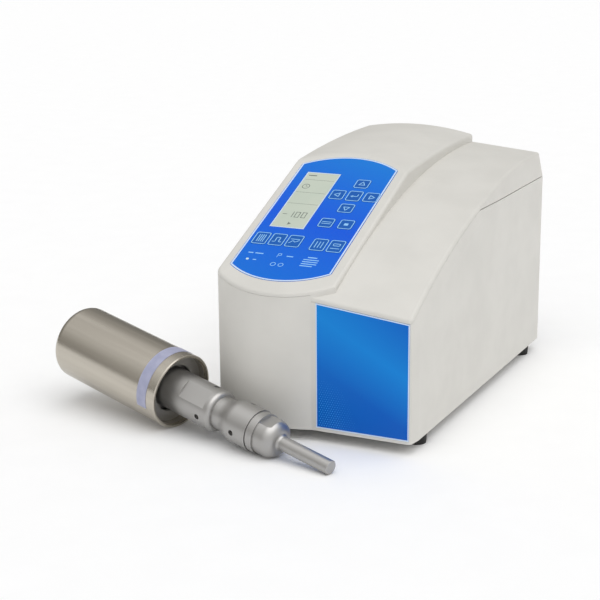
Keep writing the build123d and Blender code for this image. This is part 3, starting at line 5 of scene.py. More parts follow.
import json
import logging
import math
from dataclasses import dataclass
from enum import Enum
from typing import Iterable, Sequence

import bmesh
import bpy
from mathutils import Matrix, Vector


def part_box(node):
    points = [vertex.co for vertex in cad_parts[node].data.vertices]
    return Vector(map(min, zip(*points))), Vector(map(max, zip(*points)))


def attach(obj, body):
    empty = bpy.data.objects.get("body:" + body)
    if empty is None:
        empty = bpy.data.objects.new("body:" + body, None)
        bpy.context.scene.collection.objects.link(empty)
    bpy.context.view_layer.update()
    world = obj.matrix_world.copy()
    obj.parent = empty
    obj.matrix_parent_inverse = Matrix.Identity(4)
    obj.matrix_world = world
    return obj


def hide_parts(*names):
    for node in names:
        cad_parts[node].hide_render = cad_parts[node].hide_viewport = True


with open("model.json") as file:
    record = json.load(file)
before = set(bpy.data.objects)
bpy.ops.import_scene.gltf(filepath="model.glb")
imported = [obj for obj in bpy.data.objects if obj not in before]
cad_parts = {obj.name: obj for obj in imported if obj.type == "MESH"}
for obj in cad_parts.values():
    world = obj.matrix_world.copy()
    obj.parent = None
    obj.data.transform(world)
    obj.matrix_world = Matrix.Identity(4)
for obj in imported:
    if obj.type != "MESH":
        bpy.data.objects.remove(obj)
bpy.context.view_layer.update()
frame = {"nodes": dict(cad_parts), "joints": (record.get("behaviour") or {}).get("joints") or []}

LOG = logging.getLogger("sonicator")
MM = 0.001
WHITE = (1.0, 1.0, 1.0, 1.0)
Point = tuple[float, float]
Triple = tuple[float, float, float]
Socket = bpy.types.NodeSocket
Tree = bpy.types.NodeTree
Shape = bmesh.types.BMesh


def linear(colour: str) -> tuple[float, float, float, float]:
    """Turns an sRGB hex colour to linear light.

    Args:
        colour: six hex digits after a hash, such as "#D9D7D1".

    Returns:
        Red, green, blue and an alpha of 1.
    """
    values = [int(colour[i : i + 2], 16) / 255 for i in (1, 3, 5)]
    light = [v / 12.92 if v <= 0.04045 else ((v + 0.055) / 1.055) ** 2.4 for v in values]
    return (light[0], light[1], light[2], 1.0)


def add_node(tree: Tree, kind: str, inputs: dict | None = None, **settings) -> bpy.types.Node:
    """Adds a shader node with its settings and links.

    Args:
        tree: the node tree that gets the node.
        kind: the node's type name.
        inputs: input name or index to a value, or to another node's output.
        **settings: attributes of the node itself.

    Returns:
        The new node.
    """
    made = tree.nodes.new(kind)
    for name, value in settings.items():
        setattr(made, name, value)
    for key, value in (inputs or {}).items():
        if isinstance(value, Socket):
            tree.links.new(value, made.inputs[key])
        else:
            made.inputs[key].default_value = value
    return made


@dataclass(frozen=True)
class Finish:
    """A finish with grain and slight mottling; sizes are in millimetres.

    A grain finer than a pixel of the render is drawn as coarse as it needs to show.
    """

    name: str
    colour: str
    mottle: str
    roughness: float
    roughness_spread: float = 0.04
    metallic: float = 0.0
    specular: float = 0.5
    coat: float = 0.0
    coat_roughness: float = 0.1
    grain: float = 0.8
    grain_depth: float = 0.02
    mottle_size: float = 40.0

    def material(self) -> bpy.types.Material:
        """Gives the finish's material, made on first use."""
        found = bpy.data.materials.get(self.name)
        return found if found else self.build()

    def build(self) -> bpy.types.Material:
        """Builds the material's nodes.

        Returns:
            The new material.
        """
        made = bpy.data.materials.new(self.name)
        made.use_nodes = True
        tree = made.node_tree
        tree.nodes.clear()
        place = self.coordinates(tree)
        normal = add_node(
            tree,
            "ShaderNodeBump",
            {"Strength": 1.0, "Distance": self.grain_depth * MM, "Height": self.height(tree, place)},
        )
        shader = add_node(
            tree,
            "ShaderNodeBsdfPrincipled",
            {
                "Base Color": self.tint(tree, place),
                "Roughness": self.gloss(tree, place),
                "Metallic": self.metallic,
                "Specular IOR Level": self.specular,
                "Coat Weight": self.coat,
                "Coat Roughness": self.coat_roughness,
                "Normal": normal.outputs["Normal"],
            },
        )
        add_node(tree, "ShaderNodeOutputMaterial", {"Surface": shader.outputs["BSDF"]})
        made.diffuse_color = linear(self.colour)
        return made

    def coordinates(self, tree: Tree) -> Socket:
        """Gives the coordinates that the patterns read."""
        return add_node(tree, "ShaderNodeTexCoord").outputs["Object"]

    def noise(self, tree: Tree, place: Socket, size: float, detail: float = 2.0) -> Socket:
        """Adds noise with features of a real size.

        Args:
            tree: the node tree.
            place: the coordinates, in metres.
            size: the features' size in millimetres.
            detail: how many finer layers it has.

        Returns:
            The noise's value.
        """
        inputs = {"Vector": place, "Scale": 1 / (size * MM), "Detail": detail}
        return add_node(tree, "ShaderNodeTexNoise", inputs).outputs["Fac"]

    def blend(
        self, tree: Tree, factor: Socket, low: str, high: str, edges: Point = (0.35, 0.65)
    ) -> Socket:
        """Blends two colours by a factor between two edges.

        Args:
            tree: the node tree.
            factor: what the blend follows.
            low: the colour below the first edge.
            high: the colour above the second edge.
            edges: the two edges.

        Returns:
            The blended colour.
        """
        ramp = add_node(tree, "ShaderNodeValToRGB", {"Fac": factor})
        ramp.color_ramp.elements[0].position = edges[0]
        ramp.color_ramp.elements[0].color = linear(low)
        ramp.color_ramp.elements[1].position = edges[1]
        ramp.color_ramp.elements[1].color = linear(high)
        return ramp.outputs["Color"]

    def tint(self, tree: Tree, place: Socket) -> Socket:
        """Gives the base colour, slightly mottled."""
        return self.blend(tree, self.noise(tree, place, self.mottle_size, 3.0), self.colour, self.mottle)

    def gloss(self, tree: Tree, place: Socket) -> Socket:
        """Gives the roughness, varying a little over the surface.

        Args:
            tree: the node tree.
            place: the coordinates.

        Returns:
            The roughness.
        """
        spread = add_node(
            tree,
            "ShaderNodeMapRange",
            {
                "Value": self.noise(tree, place, self.mottle_size / 3),
                "To Min": self.roughness - self.roughness_spread,
                "To Max": self.roughness + self.roughness_spread,
            },
        )
        return spread.outputs["Result"]

    def height(self, tree: Tree, place: Socket) -> Socket:
        """Gives the height that the bump reads."""
        return self.noise(tree, place, self.grain)


@dataclass(frozen=True)
class TurnedFinish(Finish):
    """A metal whose tool marks run round an axis, as on a part from a lathe."""

    axis: Triple = (1.0, 0.0, 0.0)
    streak: float = 60.0

    def coordinates(self, tree: Tree) -> Socket:
        """Gives coordinates stretched across the axis, so that marks run round it.

        Args:
            tree: the node tree.

        Returns:
            The stretched coordinates.
        """
        place = add_node(tree, "ShaderNodeTexCoord").outputs["Object"]
        direction = Vector(self.axis)
        along = add_node(
            tree, "ShaderNodeVectorMath", {0: place, 1: direction}, operation="DOT_PRODUCT"
        ).outputs["Value"]
        ahead = add_node(
            tree, "ShaderNodeVectorMath", {0: direction, "Scale": along}, operation="SCALE"
        ).outputs["Vector"]
        across = add_node(tree, "ShaderNodeVectorMath", {0: place, 1: ahead}, operation="SUBTRACT")
        squeezed = add_node(
            tree,
            "ShaderNodeVectorMath",
            {0: across.outputs["Vector"], "Scale": 1 / self.streak},
            operation="SCALE",
        )
        joined = add_node(
            tree, "ShaderNodeVectorMath", {0: ahead, 1: squeezed.outputs["Vector"]}, operation="ADD"
        )
        return joined.outputs["Vector"]


@dataclass(frozen=True)
class DrawnFinish(TurnedFinish):
    """A metal whose fine lines run along an axis, as on a drawn and brushed tube."""

    def coordinates(self, tree: Tree) -> Socket:
        """Gives coordinates squeezed along the axis, so that lines run along it.

        Args:
            tree: the node tree.

        Returns:
            The squeezed coordinates.
        """
        place = add_node(tree, "ShaderNodeTexCoord").outputs["Object"]
        direction = Vector(self.axis)
        along = add_node(
            tree, "ShaderNodeVectorMath", {0: place, 1: direction}, operation="DOT_PRODUCT"
        ).outputs["Value"]
        taken = add_node(
            tree, "ShaderNodeMath", {0: along, 1: 1 - 1 / self.streak}, operation="MULTIPLY"
        ).outputs["Value"]
        ahead = add_node(
            tree, "ShaderNodeVectorMath", {0: direction, "Scale": taken}, operation="SCALE"
        ).outputs["Vector"]
        joined = add_node(tree, "ShaderNodeVectorMath", {0: place, 1: ahead}, operation="SUBTRACT")
        return joined.outputs["Vector"]


@dataclass(frozen=True)
class PrintedFilm(Finish):
    """Printed polyester film: a colour that runs from end to end, with a slanting sweep of another; on the
    front label that sweep is a painted sheen.
    """

    start: Triple = (0.0, 0.0, 0.0)
    end: Triple = (0.0, 0.0, 1.0)
    sweep: str = ""
    sweep_start: Triple = (0.0, 0.0, 0.0)
    sweep_end: Triple = (0.0, 0.0, 1.0)

    def run(self, tree: Tree, place: Socket, start: Sequence[float], end: Sequence[float]) -> Socket:
        """Gives 0 at start and 1 at end, measured along the line between them.

        Args:
            tree: the node tree.
            place: the coordinates.
            start: the point where the run is 0.
            end: the point where the run is 1.

        Returns:
            The run's value.
        """
        line = Vector(end) - Vector(start)
        scaled = line / line.length_squared
        reach = add_node(
            tree, "ShaderNodeVectorMath", {0: place, 1: scaled}, operation="DOT_PRODUCT"
        ).outputs["Value"]
        offset = Vector(start).dot(scaled)
        made = add_node(tree, "ShaderNodeMath", {0: reach, 1: offset}, operation="SUBTRACT")
        return made.outputs["Value"]

    def tint(self, tree: Tree, place: Socket) -> Socket:
        """Gives the print's colour.

        Args:
            tree: the node tree.
            place: the coordinates.

        Returns:
            The colour.
        """
        ahead = self.run(tree, place, self.start, self.end)
        ground = self.blend(tree, ahead, self.colour, self.mottle, (0.0, 1.0))
        if not self.sweep:
            return ground
        slant = self.run(tree, place, self.sweep_start, self.sweep_end)
        ramp = add_node(tree, "ShaderNodeValToRGB", {"Fac": slant})
        ramp.color_ramp.elements[0].position = 0.0
        ramp.color_ramp.elements[0].color = (0, 0, 0, 1)
        ramp.color_ramp.elements[1].position = 1.0
        ramp.color_ramp.elements[1].color = (0, 0, 0, 1)
        ramp.color_ramp.elements.new(0.5).color = (1, 1, 1, 1)
        mixed = add_node(
            tree,
            "ShaderNodeMix",
            {"Factor": ramp.outputs["Color"], "A": ground, "B": linear(self.sweep)},
            data_type="RGBA",
        )
        return mixed.outputs["Result"]


class Stroke(Enum):
    """How an icon's path is printed: filled in, or as a line along it."""

    SOLID = "solid"
    LINE = "line"


Icon = list[tuple[list[Point], Stroke]]


def joint_of(name: str) -> dict:
    """Gives a joint's row in the frame."""
    return next(joint for joint in frame["joints"] if joint["name"] == name)


def corner_of_unit(depth: float) -> Vector:
    """Gives the generator's front left bottom corner, where its flat front meets its left side.

    Args:
        depth: the housing's depth behind the flat front, in millimetres.

    Returns:
        The corner, in metres.
    """
    low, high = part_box("lower_shell")
    return Vector((low.x, high.y - depth * MM, low.z))


def piece_from(mesh: Shape, name: str, body: str, slot: str, *finishes: Finish) -> bpy.types.Object:
    """Turns a bmesh into a piece that rides on a body.

    Args:
        mesh: the shape, in metres, in the shared frame; it is freed.
        name: the piece's name.
        body: the CAD body it rides on.
        slot: the record's material slot; not used.
        *finishes: the piece's finishes, in the order of its material indices.

    Returns:
        The new object.
    """
    data = bpy.data.meshes.new(name)
    mesh.to_mesh(data)
    mesh.free()
    made = bpy.data.objects.new(name, data)
    bpy.context.scene.collection.objects.link(made)
    for finish in finishes:
        data.materials.append(finish.material())
    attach(made, body)
    LOG.info("piece %s on %s: %d faces", name, body, len(data.polygons))
    return made


def dress(finish: Finish, *nodes: str) -> None:
    """Gives CAD nodes their finish.

    Args:
        finish: the finish.
        *nodes: the nodes' names.
    """
    for node in nodes:
        materials = frame["nodes"][node].data.materials
        materials.clear()
        materials.append(finish.material())


def plane_matrix(origin: Vector, x_axis: Vector, normal: Vector) -> Matrix:
    """Gives the matrix of a plane.

    Args:
        origin: the plane's origin.
        x_axis: its first axis.
        normal: its normal.

    Returns:
        A matrix from the plane's coordinates to the shared frame.
    """
    y_axis = normal.cross(x_axis)
    made = Matrix((x_axis, y_axis, normal)).transposed().to_4x4()
    made.translation = origin
    return made


@dataclass(frozen=True)
class Layer:
    """A flat layer over a plane, between two heights in millimetres."""

    place: Matrix
    low: float
    high: float


def slab(mesh: Shape, outline: Iterable[Point], layer: Layer) -> None:
    """Adds a flat solid with a given outline.

    Args:
        mesh: the bmesh that gets it.
        outline: its corners in the plane, anticlockwise, in millimetres.
        layer: the layer that it fills.
    """
    verts = [mesh.verts.new((x * MM, y * MM, layer.low * MM)) for x, y in outline]
    base = mesh.faces.new(verts)
    raised = bmesh.ops.extrude_face_region(mesh, geom=[base])
    top = [item for item in raised["geom"] if isinstance(item, bmesh.types.BMVert)]
    bmesh.ops.translate(mesh, verts=top, vec=(0, 0, (layer.high - layer.low) * MM))
    faces = list({face for vert in verts + top for face in vert.link_faces})
    bmesh.ops.recalc_face_normals(mesh, faces=faces)
    bmesh.ops.transform(mesh, matrix=layer.place, verts=verts + top)


def rounded(
    width: float, height: float, radius: float, middle: Point = (0, 0), steps: int = 5
) -> list[Point]:
    """Gives a rectangle's outline with round corners.

    Args:
        width: its width in millimetres.
        height: its height.
        radius: its corners' radius.
        middle: its middle.
        steps: how many points each corner has, less one.

    Returns:
        The outline, anticlockwise.
    """
    points = []
    for turn, (i, j) in enumerate(((1, 1), (-1, 1), (-1, -1), (1, -1))):
        centre = (middle[0] + i * (width / 2 - radius), middle[1] + j * (height / 2 - radius))
        for step in range(steps + 1):
            angle = math.radians(90 * (turn + step / steps))
            points.append((centre[0] + radius * math.cos(angle), centre[1] + radius * math.sin(angle)))
    return points


def circle(radius: float, middle: Point, steps: int = 24) -> list[Point]:
    """Gives a circle's outline.

    Args:
        radius: its radius.
        middle: its middle.
        steps: how many points it has.

    Returns:
        The outline, anticlockwise.
    """
    turns = [2 * math.pi * step / steps for step in range(steps)]
    return [(middle[0] + radius * math.cos(a), middle[1] + radius * math.sin(a)) for a in turns]


def frame_of(mesh: Shape, outer: Sequence[Point], inner: Sequence[Point], layer: Layer) -> None:
    """Adds a flat closed band between two outlines with the same number of corners.

    Args:
        mesh: the bmesh that gets it.
        outer: the outer outline, anticlockwise, in millimetres.
        inner: the inner outline.
        layer: the layer that it fills.
    """
    rings = []
    low, high = layer.low * MM, layer.high * MM
    for outline, height in ((outer, low), (outer, high), (inner, high), (inner, low)):
        rings.append([mesh.verts.new(layer.place @ Vector((x * MM, y * MM, height))) for x, y in outline])
    count = len(outer)
    for first, second in zip(rings, rings[1:] + rings[:1]):
        for step in range(count):
            after = (step + 1) % count
            mesh.faces.new((first[step], first[after], second[after], second[step]))
    faces = list({face for ring in rings for vert in ring for face in vert.link_faces})
    bmesh.ops.recalc_face_normals(mesh, faces=faces)


def stroke(mesh: Shape, path: Sequence[Point], width: float, layer: Layer) -> None:
    """Adds a line of a given width along a path, one bar for each of its runs.

    Args:
        mesh: the bmesh that gets it.
        path: the line's corners, in millimetres.
        width: the line's width.
        layer: the layer that it fills.
    """
    for start, end in zip(path, path[1:]):
        ahead = (Vector(end) - Vector(start)).normalized() * width / 2
        aside = Vector((-ahead.y, ahead.x))
        first, last = Vector(start) - ahead, Vector(end) + ahead
        corners = [first - aside, last - aside, last + aside, first + aside]
        slab(mesh, [(c.x, c.y) for c in corners], layer)


class Palette:
    """The finishes that several sub-assemblies share."""

    # Moulded ABS with a fine etched texture: satin off-white, slightly warm.
    moulding = Finish("moulded_abs_offwhite", "#DAD8D2", "#D5D3CD", 0.46, grain=0.7, grain_depth=0.012)
    # Baked enamel on folded steel: smoother and a little greyer than the moulding.
    enamel = Finish("baked_enamel_grey", "#C9C9C5", "#C4C4C0", 0.38, grain=1.6, grain_depth=0.01)
    # Pale ink printed on film: a thin, almost white line with a satin face.
    border_ink = Finish("screen_print_pale", "#D4E6FA", "#CADFF8", 0.35, grain=0.6, grain_depth=0.004)
    # Light blue ink printed on film: the bright outlines and small marks on the deeper blue.
    mark_ink = Finish(
        "screen_print_light_blue", "#9AD0FC", "#90CAFA", 0.35, specular=0.2, grain=0.6, grain_depth=0.004
    )
    # Moulded nitrile rubber: dull black with a slight grain.
    rubber = Finish("nitrile_rubber_black", "#1B1B1B", "#232322", 0.72, grain=1.0, grain_depth=0.03)
    # Zinc plate on steel: bright with a soft haze.
    zinc = Finish("zinc_plate", "#B9BCBD", "#A9ADB0", 0.3, 0.08, metallic=1.0, grain=0.8, mottle_size=3.0)
    # Glass-filled nylon, moulded black: satin with a faint grain.
    nylon = Finish("glass_filled_nylon_black", "#1E1F20", "#262728", 0.5, grain=0.6, grain_depth=0.03)
    # Nickel plate on brass: bright and slightly yellow.
    nickel = Finish(
        "nickel_plate", "#C6C2B6", "#BAB6AA", 0.22, 0.05, metallic=1.0, grain=1.2, mottle_size=4.0
    )
    # Solder mask on glass epoxy: glossy dark green.
    solder_mask = Finish("solder_mask_green", "#0F4A28", "#12562F", 0.35, grain=0.5, grain_depth=0.02)


@dataclass
class Housing:
    """The generator's shell, base, feet and what is sealed inside it; sizes in millimetres."""

    depth: float = 351.0

    def dress(self) -> None:
        """Gives every housing node its finish."""
        dress(Palette.moulding, "lower_shell", "top_cover")
        dress(Palette.enamel, "base_pan", "rear_panel")
        dress(Palette.rubber, "feet", "seal_rings")
        dress(Palette.zinc, "panel_screws", "foot_screws", "board_screws", "fan_screws")
        dress(Palette.zinc, "ground_stud", "board_standoffs")
        dress(Palette.solder_mask, "main_board", "key_board")
        dress(Palette.nylon, "power_transistors", "key_switches")
        # Extruded aluminium, as it leaves the die: dull silver.
        aluminium = Finish("extruded_aluminium", "#B4B6B8", "#A6A9AC", 0.42, metallic=1.0, grain=0.5)
        dress(aluminium, "heat_sink")
        # Pressed and fired ferrite: dark grey and matt.
        ferrite = Finish("fired_ferrite", "#38383A", "#424246", 0.7, grain=0.6, grain_depth=0.05)
        dress(ferrite, "transformer_core")
        # Enamelled copper winding: warm brown, with the wires' ridges.
        winding = Finish("enamelled_copper", "#8A4A22", "#9C5A2C", 0.3, grain=1.2, grain_depth=0.2)
        dress(winding, "transformer_coil", "tuning_coil")
        # Shrink sleeve over a can: glossy dark blue.
        sleeve = Finish("shrink_sleeve_blue", "#1C2C50", "#22345C", 0.25, grain=2.0)
        dress(sleeve, "filter_capacitors")
        LOG.info("housing dressed")


@dataclass
class FrontLabel:
    """The film on the flat front, in millimetres: pale border, blue print, a painted sheen as a lighter
    sweep, fading dots.
    """

    # The generator's front left bottom corner.
    corner: Vector
    left: float = 104.0
    right: float = 190.5
    bottom: float = 3.0
    border: float = 1.0
    thickness: float = 0.4
    film_top: float = 0.38
    dot_pitch: float = 2.3
    dot_radius: float = 0.5
    dot_columns: int = 18
    dot_rows: int = 26
    # Rows of a pattern of equal triangles lie closer than its columns.
    dot_row_share: float = 0.87
    dot_fade: float = 1.6
    least_dot: float = 0.16
    # The sweep's two ends, as shares of the label's width and height from its lower left; the sweep is a
    # painted sheen.
    sweep_from: Point = (0.0, 0.5)
    sweep_to: Point = (0.45, 1.12)

    def build(self) -> None:
        """Builds the label in place of its CAD node."""
        low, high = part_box("front_label")
        origin = Vector((self.corner.x, high.y, self.corner.z))
        place = plane_matrix(origin, Vector((1, 0, 0)), Vector((0, -1, 0)))
        top_left, top_right = self.top_heights()
        outer = [
            (self.left, self.bottom),
            (self.right, self.bottom),
            (self.right, top_right),
            (self.left, top_left),
        ]
        fall = (top_left - top_right) / (self.right - self.left)
        inner = [
            (self.left + self.border, self.bottom + self.border),
            (self.right - self.border, self.bottom + self.border),
            (self.right - self.border, top_right - self.border + fall * self.border),
            (self.left + self.border, top_left - self.border - fall * self.border),
        ]
        mesh = bmesh.new()
        slab(mesh, outer, Layer(place, 0.0, self.film_top))
        label = piece_from(mesh, "front_label_film", "housing", "label_film", self.print_finish(low, high))
        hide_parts("front_label")
        mesh = bmesh.new()
        frame_of(mesh, outer, inner, Layer(place, self.film_top, self.thickness))
        piece_from(mesh, "front_label_border", "housing", "label_film", Palette.border_ink)
        self.build_dots(place)

    def top_heights(self) -> Point:
        """Gives the label's height at its left and right edge, from its CAD node.

        Returns:
            The two heights in millimetres above the housing's underside.
        """
        verts = [v.co for v in frame["nodes"]["front_label"].data.vertices]
        middle = self.corner.x + (self.left + self.right) / 2 * MM
        left = max(v.z for v in verts if v.x < middle)
        right = max(v.z for v in verts if v.x > middle)
        return ((left - self.corner.z) / MM, (right - self.corner.z) / MM)

    def print_finish(self, low: Vector, high: Vector) -> PrintedFilm:
        """Gives the blue print, darker to the right and below, with one lighter sweep that is a painted
        sheen.

        Args:
            low: the label's lowest corner.
            high: its highest corner.

        Returns:
            The finish.
        """
        wide, tall = high.x - low.x, high.z - low.z
        painted_sheen_ends = [
            (low.x + x * wide, high.y, low.z + z * tall) for x, z in (self.sweep_from, self.sweep_to)
        ]
        # Blue ink printed under clear film: satin, with a painted sheen laid over the print as a soft
        # lighter sweep.
        return PrintedFilm(
            "blue_print_and_painted_sheen_label", "#0072D2", "#0A5CC0", 0.35, specular=0.15, grain=0.6,
            grain_depth=0.004, start=(low.x, high.y, high.z), end=(high.x, high.y, low.z),
            sweep="#0E86DC", sweep_start=painted_sheen_ends[0], sweep_end=painted_sheen_ends[1],
        )

    def build_dots(self, place: Matrix) -> None:
        """Builds the field of dots at the lower left, which shrink as they leave the corner.

        Args:
            place: the label's plane.
        """
        mesh = bmesh.new()
        start = (self.left + 2 * self.border, self.bottom + 2 * self.border)
        for row in range(self.dot_rows):
            for column in range(self.dot_columns):
                fade = 1 - math.hypot(row / self.dot_rows, column / self.dot_columns)
                radius = self.dot_radius * min(1.0, self.dot_fade * fade)
                if radius < self.least_dot:
                    continue
                shift = self.dot_pitch / 2 if row % 2 else 0.0
                x = start[0] + shift + self.dot_pitch * (column + 0.5)
                y = start[1] + self.dot_pitch * (row + 0.5) * self.dot_row_share
                outline = circle(radius, (x, y), 6)
                slab(mesh, outline, Layer(place, self.film_top, self.thickness))
        # Mid blue ink printed on film: a fine field of dots, just lighter than the print.
        dots = Finish("screen_print_mid_blue", "#2F97EA", "#2B90E4", 0.35, grain=0.6, grain_depth=0.004)
        piece_from(mesh, "front_label_dots", "housing", "label_film", dots)


@dataclass
class Keypad:
    """The keypad film with its border, keys and marks; sizes in millimetres along its face."""

    # The generator's front left bottom corner.
    corner: Vector
    slope: float = 23.6
    front_height: float = 124.7
    proud: float = 0.2
    key_proud: float = 0.4
    left: float = 9.0
    width: float = 98.6
    low: float = 25.5
    high: float = 189.5
    top_rise: float = 16.0
    bottom_rise: float = 17.0
    border_start: float = 0.3
    border: float = 1.75
    ink: float = 0.03
    line: float = 0.8
    key_margin: float = 0.25
    key_corner: float = 2.2
    fade_from: Point = (0.0, 10.0)
    fade_to: Point = (0.0, 205.0)
    sweep_from: Point = (20.0, 0.0)
    sweep_to: Point = (90.0, 200.0)
    # Middle x, middle y, width and height of the plain marks below the keys.
    bars: tuple[tuple[float, float, float, float], ...] = (
        (21.0, 44.6, 5.0, 1.3),
        (29.5, 44.6, 8.0, 1.3),
        (29.0, 35.0, 3.4, 1.2),
        (60.0, 44.3, 6.5, 1.2),
        (81.5, 45.8, 9.0, 1.3),
        (81.5, 42.4, 15.0, 1.1),
        (81.5, 39.4, 15.0, 1.1),
        (81.5, 36.4, 15.0, 1.1),
        (80.0, 33.4, 12.0, 1.1),
    )
    bar_corner: float = 0.3
    rings: tuple[Point, ...] = ((49.0, 31.4), (56.5, 31.4))
    ring_radius: float = 2.6
    flag: tuple[Point, ...] = ((48.0, 42.0), (48.0, 47.0), (51.0, 47.0), (51.0, 44.5), (48.0, 44.5))
    fine_line: float = 0.6
    lamp_place: Point = (22.0, 34.9)
    lamp_radius: float = 1.35
    lamp_rise: float = 0.28

    @property
    def place(self) -> Matrix:
        """The plane of the keypad's face."""
        angle = math.radians(self.slope)
        normal = Vector((0, -math.sin(angle), math.cos(angle)))
        origin = self.corner + Vector((0, 0, self.front_height * MM))
        return plane_matrix(origin, Vector((1, 0, 0)), normal)

    def bowed(self, inset: float, steps: int = 24) -> list[Point]:
        """Gives the film's outline, moved inwards.

        Args:
            inset: how far inwards.
            steps: how many runs each bowed end has.

        Returns:
            The outline, anticlockwise from the lower left.
        """
        half = self.width / 2 - inset
        middle = self.left + self.width / 2
        points = []
        for rise, base, sign in ((self.bottom_rise, self.low, -1), (self.top_rise, self.high, 1)):
            chord = self.width / 2
            radius = (chord**2 + rise**2) / (2 * rise)
            centre = base + sign * (rise - radius)
            reach = radius - inset
            spread = math.asin(half / reach)
            for step in range(steps + 1):
                angle = spread * (2 * step / steps - 1)
                x = middle + reach * math.sin(angle) * -sign
                points.append((x, centre + sign * reach * math.cos(angle)))
        return points

    def build(self) -> None:
        """Dresses the film and its keys, and builds the printed marks."""
        place = self.place
        ends = (self.fade_from, self.fade_to, self.sweep_from, self.sweep_to)
        start, end, sweep_start, sweep_end = (tuple(place @ Vector((x * MM, y * MM, 0))) for x, y in ends)
        # Blue ink printed under clear film: satin, with a broad purer band across its middle.
        film = PrintedFilm(
            "screen_print_blue_keypad", "#0070D6", "#007AD8", 0.38, specular=0.15, grain=0.6,
            grain_depth=0.006, start=start, end=end, sweep="#0058DC", sweep_start=sweep_start,
            sweep_end=sweep_end,
        )
        dress(film, "keypad_overlay")
        mesh = bmesh.new()
        outer, inner = self.bowed(self.border_start), self.bowed(self.border)
        frame_of(mesh, outer, inner, Layer(place, self.proud, self.proud + self.ink))
        piece_from(mesh, "keypad_border", "housing", "keypad_film", Palette.border_ink)
        self.build_keys()
        self.build_small_marks()

    def build_keys(self) -> None:
        """Dresses each key and prints its outline and icon on it."""
        # Deep blue ink printed on film: darker than the film round the keys, and satin.
        ground = Finish(
            "screen_print_deep_blue_key", "#0A58AE", "#0C5CB4", 0.4, specular=0.15, grain=0.6,
            grain_depth=0.006,
        )
        inverse = self.place.inverted()
        layer = Layer(self.place, self.key_proud, self.key_proud + self.ink)
        for name, icon in ICONS.items():
            dress(ground, name)
            corners = [inverse @ v.co for v in frame["nodes"][name].data.vertices]
            cap = [c for c in corners if c.z > 0]
            low = (min(c.x for c in cap) / MM, min(c.y for c in cap) / MM)
            high = (max(c.x for c in cap) / MM, max(c.y for c in cap) / MM)
            middle = ((low[0] + high[0]) / 2, (low[1] + high[1]) / 2)
            width = high[0] - low[0] - 2 * self.key_margin
            height = high[1] - low[1] - 2 * self.key_margin
            mesh = bmesh.new()
            outer = rounded(width, height, self.key_corner, middle)
            inset = 2 * self.line
            inner = rounded(width - inset, height - inset, self.key_corner - self.line, middle)
            frame_of(mesh, outer, inner, layer)
            for path, style in icon:
                scaled = [(middle[0] + x, middle[1] + y) for x, y in path]
                if style is Stroke.SOLID:
                    slab(mesh, scaled, layer)
                else:
                    stroke(mesh, scaled, self.line, layer)
            piece_from(mesh, name + "_print", name + "_body", "keypad_film", Palette.mark_ink)

    def build_small_marks(self) -> None:
        """Builds the lamp and the plain marks below the keys."""
        layer = Layer(self.place, self.proud, self.proud + self.ink)
        mesh = bmesh.new()
        for x, y, width, height in self.bars:
            slab(mesh, rounded(width, height, self.bar_corner, (x, y), 2), layer)
        for middle in self.rings:
            inner = circle(self.ring_radius - self.fine_line, middle)
            frame_of(mesh, circle(self.ring_radius, middle), inner, layer)
        stroke(mesh, self.flag, self.fine_line, layer)
        piece_from(mesh, "keypad_marks", "housing", "keypad_film", Palette.mark_ink)
        mesh = bmesh.new()
        lens_layer = Layer(self.place, self.proud, self.proud + self.lamp_rise)
        slab(mesh, circle(self.lamp_radius, self.lamp_place), lens_layer)
        # Diffused acrylic lens: pale and glossy.
        lens = Finish("diffused_lens_pale", "#D6F0F4", "#C6EAF2", 0.2, coat=0.5, grain=2.0)
        piece_from(mesh, "ready_lamp", "housing", "keypad_film", lens)


def triangle(angle: float, size: float = 3.4) -> Icon:
    """Gives an outlined triangle that points in a direction.

    Args:
        angle: the direction in degrees, anticlockwise from the right.
        size: the distance from its middle to its corners.

    Returns:
        The icon.
    """
    corners = [
        (size * math.cos(math.radians(angle + turn)), size * math.sin(math.radians(angle + turn)))
        for turn in (0, 120, 240, 0)
    ]
    return [(corners, Stroke.LINE)]


# Each key's symbol, in millimetres from the key's middle.
ICONS: dict[str, Icon] = {
    "key_up": triangle(90),
    "key_left": triangle(180),
    "key_right": triangle(0),
    "key_down": triangle(270),
    "key_enter": [
        ([(3.2, 2.6), (3.2, -0.6), (-2.2, -0.6)], Stroke.LINE),
        ([(-3.8, -0.6), (-1.2, -2.4), (-1.2, 1.2)], Stroke.SOLID),
    ],
    "key_clear": [([(-4.2, 1.3), (4.2, 1.3)], Stroke.LINE), ([(-4.2, -1.3), (4.2, -1.3)], Stroke.LINE)],
    "key_store": [([(-2.0, -1.6), (2.0, -1.6), (2.0, 1.6), (-2.0, 1.6)], Stroke.SOLID)],
    "key_time": [([(x, -5.0), (x, 5.0)], Stroke.LINE) for x in (-3.0, -1.0, 1.0, 3.0)],
    "key_pulse": [
        ([(-4.2, -3.2), (-1.8, -3.2), (-1.8, 3.2), (1.8, 3.2), (1.8, -3.2), (4.2, -3.2)], Stroke.LINE),
    ],
    "key_limit": [
        ([(-4.2, 2.8), (4.2, 2.8)], Stroke.LINE),
        ([(-4.2, -3.2), (-1.6, 0.6), (1.0, -1.4), (4.2, 1.2)], Stroke.LINE),
    ],
    "key_test": [([(x, -4.2), (x, 4.2)], Stroke.LINE) for x in (-3.0, 0.0, 3.0)],
    "key_start": [
        ([(-3.2, 0.6), (-3.2, 3.6), (3.2, 3.6), (3.2, 0.6), (-3.2, 0.6)], Stroke.LINE),
        ([(-4.0, -3.4), (4.0, -3.4)], Stroke.LINE),
    ],
}


